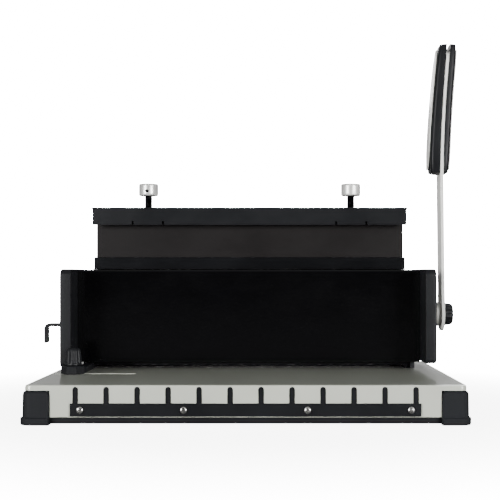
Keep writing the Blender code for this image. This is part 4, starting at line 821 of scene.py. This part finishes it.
def studio_world():
    """White where the camera looks, and elsewhere a room that is bright above and dark in front."""
    world = bpy.data.worlds.new("Studio")
    bpy.context.scene.world = world
    world.use_nodes = True
    tree = world.node_tree
    backdrop = tree.nodes["Background"]
    backdrop.inputs["Color"].default_value = (1, 1, 1, 1)
    backdrop.inputs["Strength"].default_value = BACKDROP
    room = add_node(tree, 'ShaderNodeBackground')
    place = add_node(tree, 'ShaderNodeTexCoord')
    split = add_node(tree, 'ShaderNodeSeparateXYZ')
    tree.links.new(place.outputs["Generated"], split.inputs["Vector"])
    up = math_node(tree, 'MULTIPLY', step_up(tree, split.outputs["Z"], 0.05, 0.8), ROOM_ABOVE)
    side = math_node(tree, 'MULTIPLY', step_up(tree, split.outputs["Y"], -0.75, 0.3), ROOM_BEHIND)
    glow = math_node(tree, 'ADD', math_node(tree, 'ADD', up, side), ROOM_IN_FRONT)
    tree.links.new(glow, room.inputs["Strength"])
    path = add_node(tree, 'ShaderNodeLightPath')
    mix = add_node(tree, 'ShaderNodeMixShader')
    tree.links.new(path.outputs["Is Camera Ray"], mix.inputs["Fac"])
    tree.links.new(room.outputs[0], mix.inputs[1])
    tree.links.new(backdrop.outputs[0], mix.inputs[2])
    tree.links.new(mix.outputs[0], tree.nodes["World Output"].inputs["Surface"])


def floor_finish():
    """A pale floor that glows for the camera, less near the machine so that the soft shadow there shows and more
    further off so that it fades to white; to the machine's own reflections and bounce light it shows a painted
    dark grey in place of its pale colour.
    """
    pale = bpy.data.materials.new("floor_pale")
    pale.use_nodes = True
    tree = pale.node_tree
    shader = tree.nodes["Principled BSDF"]
    shader.inputs["Roughness"].default_value = 0.9
    shader.inputs["Specular IOR Level"].default_value = 0.0
    place = add_node(tree, 'ShaderNodeTexCoord')
    reach = add_node(tree, 'ShaderNodeVectorMath', operation='LENGTH')
    tree.links.new(place.outputs["Object"], reach.inputs[0])
    fade = math_node(tree, 'MULTIPLY', step_up(tree, reach.outputs["Value"], *FLOOR_FADE), FLOOR_FAR)
    path = add_node(tree, 'ShaderNodeLightPath')
    # painted shade: for every ray but the camera's the floor is dark grey, so the machine reflects and takes
    # bounce light from a darkened floor
    shade = add_node(tree, 'ShaderNodeMix', data_type='RGBA')
    shade.inputs["A"].default_value = (0.2, 0.2, 0.2, 1)      # what the machine sees of the floor
    shade.inputs["B"].default_value = (0.9, 0.9, 0.9, 1)
    tree.links.new(path.outputs["Is Camera Ray"], shade.inputs["Factor"])
    tree.links.new(shade.outputs["Result"], shader.inputs["Base Color"])
    glow = math_node(tree, 'ADD', fade, FLOOR_NEAR)
    glow = math_node(tree, 'MULTIPLY', glow, path.outputs["Is Camera Ray"])
    shader.inputs["Emission Color"].default_value = (1, 1, 1, 1)
    tree.links.new(glow, shader.inputs["Emission Strength"])
    return pale


class BINDER_OT_stage(bpy.types.Operator):
    """Sets up the pale floor, the soft lights and the camera"""
    bl_idname = "binder.stage"
    bl_label = "Stage"

    def execute(self, context):
        scene = context.scene
        studio_world()
        deselect()
        bpy.ops.mesh.primitive_plane_add(size=60, location=(0, 0, 0))
        floor = context.object
        floor.name = "floor"
        floor.data.materials.append(floor_finish())
        for light in SOFTBOXES:
            add_light(*light)
        data = bpy.data.cameras.new("camera")
        data.sensor_width = 36
        data.lens = CAMERA_LENS
        data.shift_x, data.shift_y = CAMERA_SHIFT
        data.clip_start = 0.05
        camera = bpy.data.objects.new("camera", data)
        camera.location = (CENTRE_X + CAMERA_PLACE[0], *CAMERA_PLACE[1:])
        camera.rotation_euler = Euler((math.pi / 2, 0, 0))
        scene.collection.objects.link(camera)
        scene.camera = camera
        return {'FINISHED'}


OPERATORS = (BINDER_OT_finishes, BINDER_OT_base, BINDER_OT_screws, BINDER_OT_housing, BINDER_OT_springs,
             BINDER_OT_closer, BINDER_OT_thumb_screws, BINDER_OT_controls, BINDER_OT_scale,
             BINDER_OT_lever, BINDER_OT_stage)


class BINDER_PT_panel(bpy.types.Panel):
    """Sizes, colours and pieces of the binding machine"""
    bl_idname = "BINDER_PT_panel"
    bl_label = "Wire Binding Machine"
    bl_space_type = 'VIEW_3D'
    bl_region_type = 'UI'
    bl_category = "Binder"

    def draw(self, context):
        for group in (context.scene.binder_sizes, context.scene.binder_colours):
            box = self.layout.box()
            for name in group.bl_rna.properties.keys():
                if name not in {"rna_type", "name"}:
                    box.prop(group, name)
        for operator in OPERATORS:
            self.layout.operator(operator.bl_idname)


CLASSES = (BinderSizes, BinderColours, *OPERATORS, BINDER_PT_panel)


def register():
    for cls in CLASSES:
        bpy.utils.register_class(cls)
    bpy.types.Scene.binder_sizes = PointerProperty(type=BinderSizes)
    bpy.types.Scene.binder_colours = PointerProperty(type=BinderColours)


def unregister():
    del bpy.types.Scene.binder_colours
    del bpy.types.Scene.binder_sizes
    for cls in reversed(CLASSES):
        bpy.utils.unregister_class(cls)


def main():
    register()
    for operator in OPERATORS:
        group, name = operator.bl_idname.split(".")
        getattr(getattr(bpy.ops, group), name)()


if __name__ == "__main__":
    main()
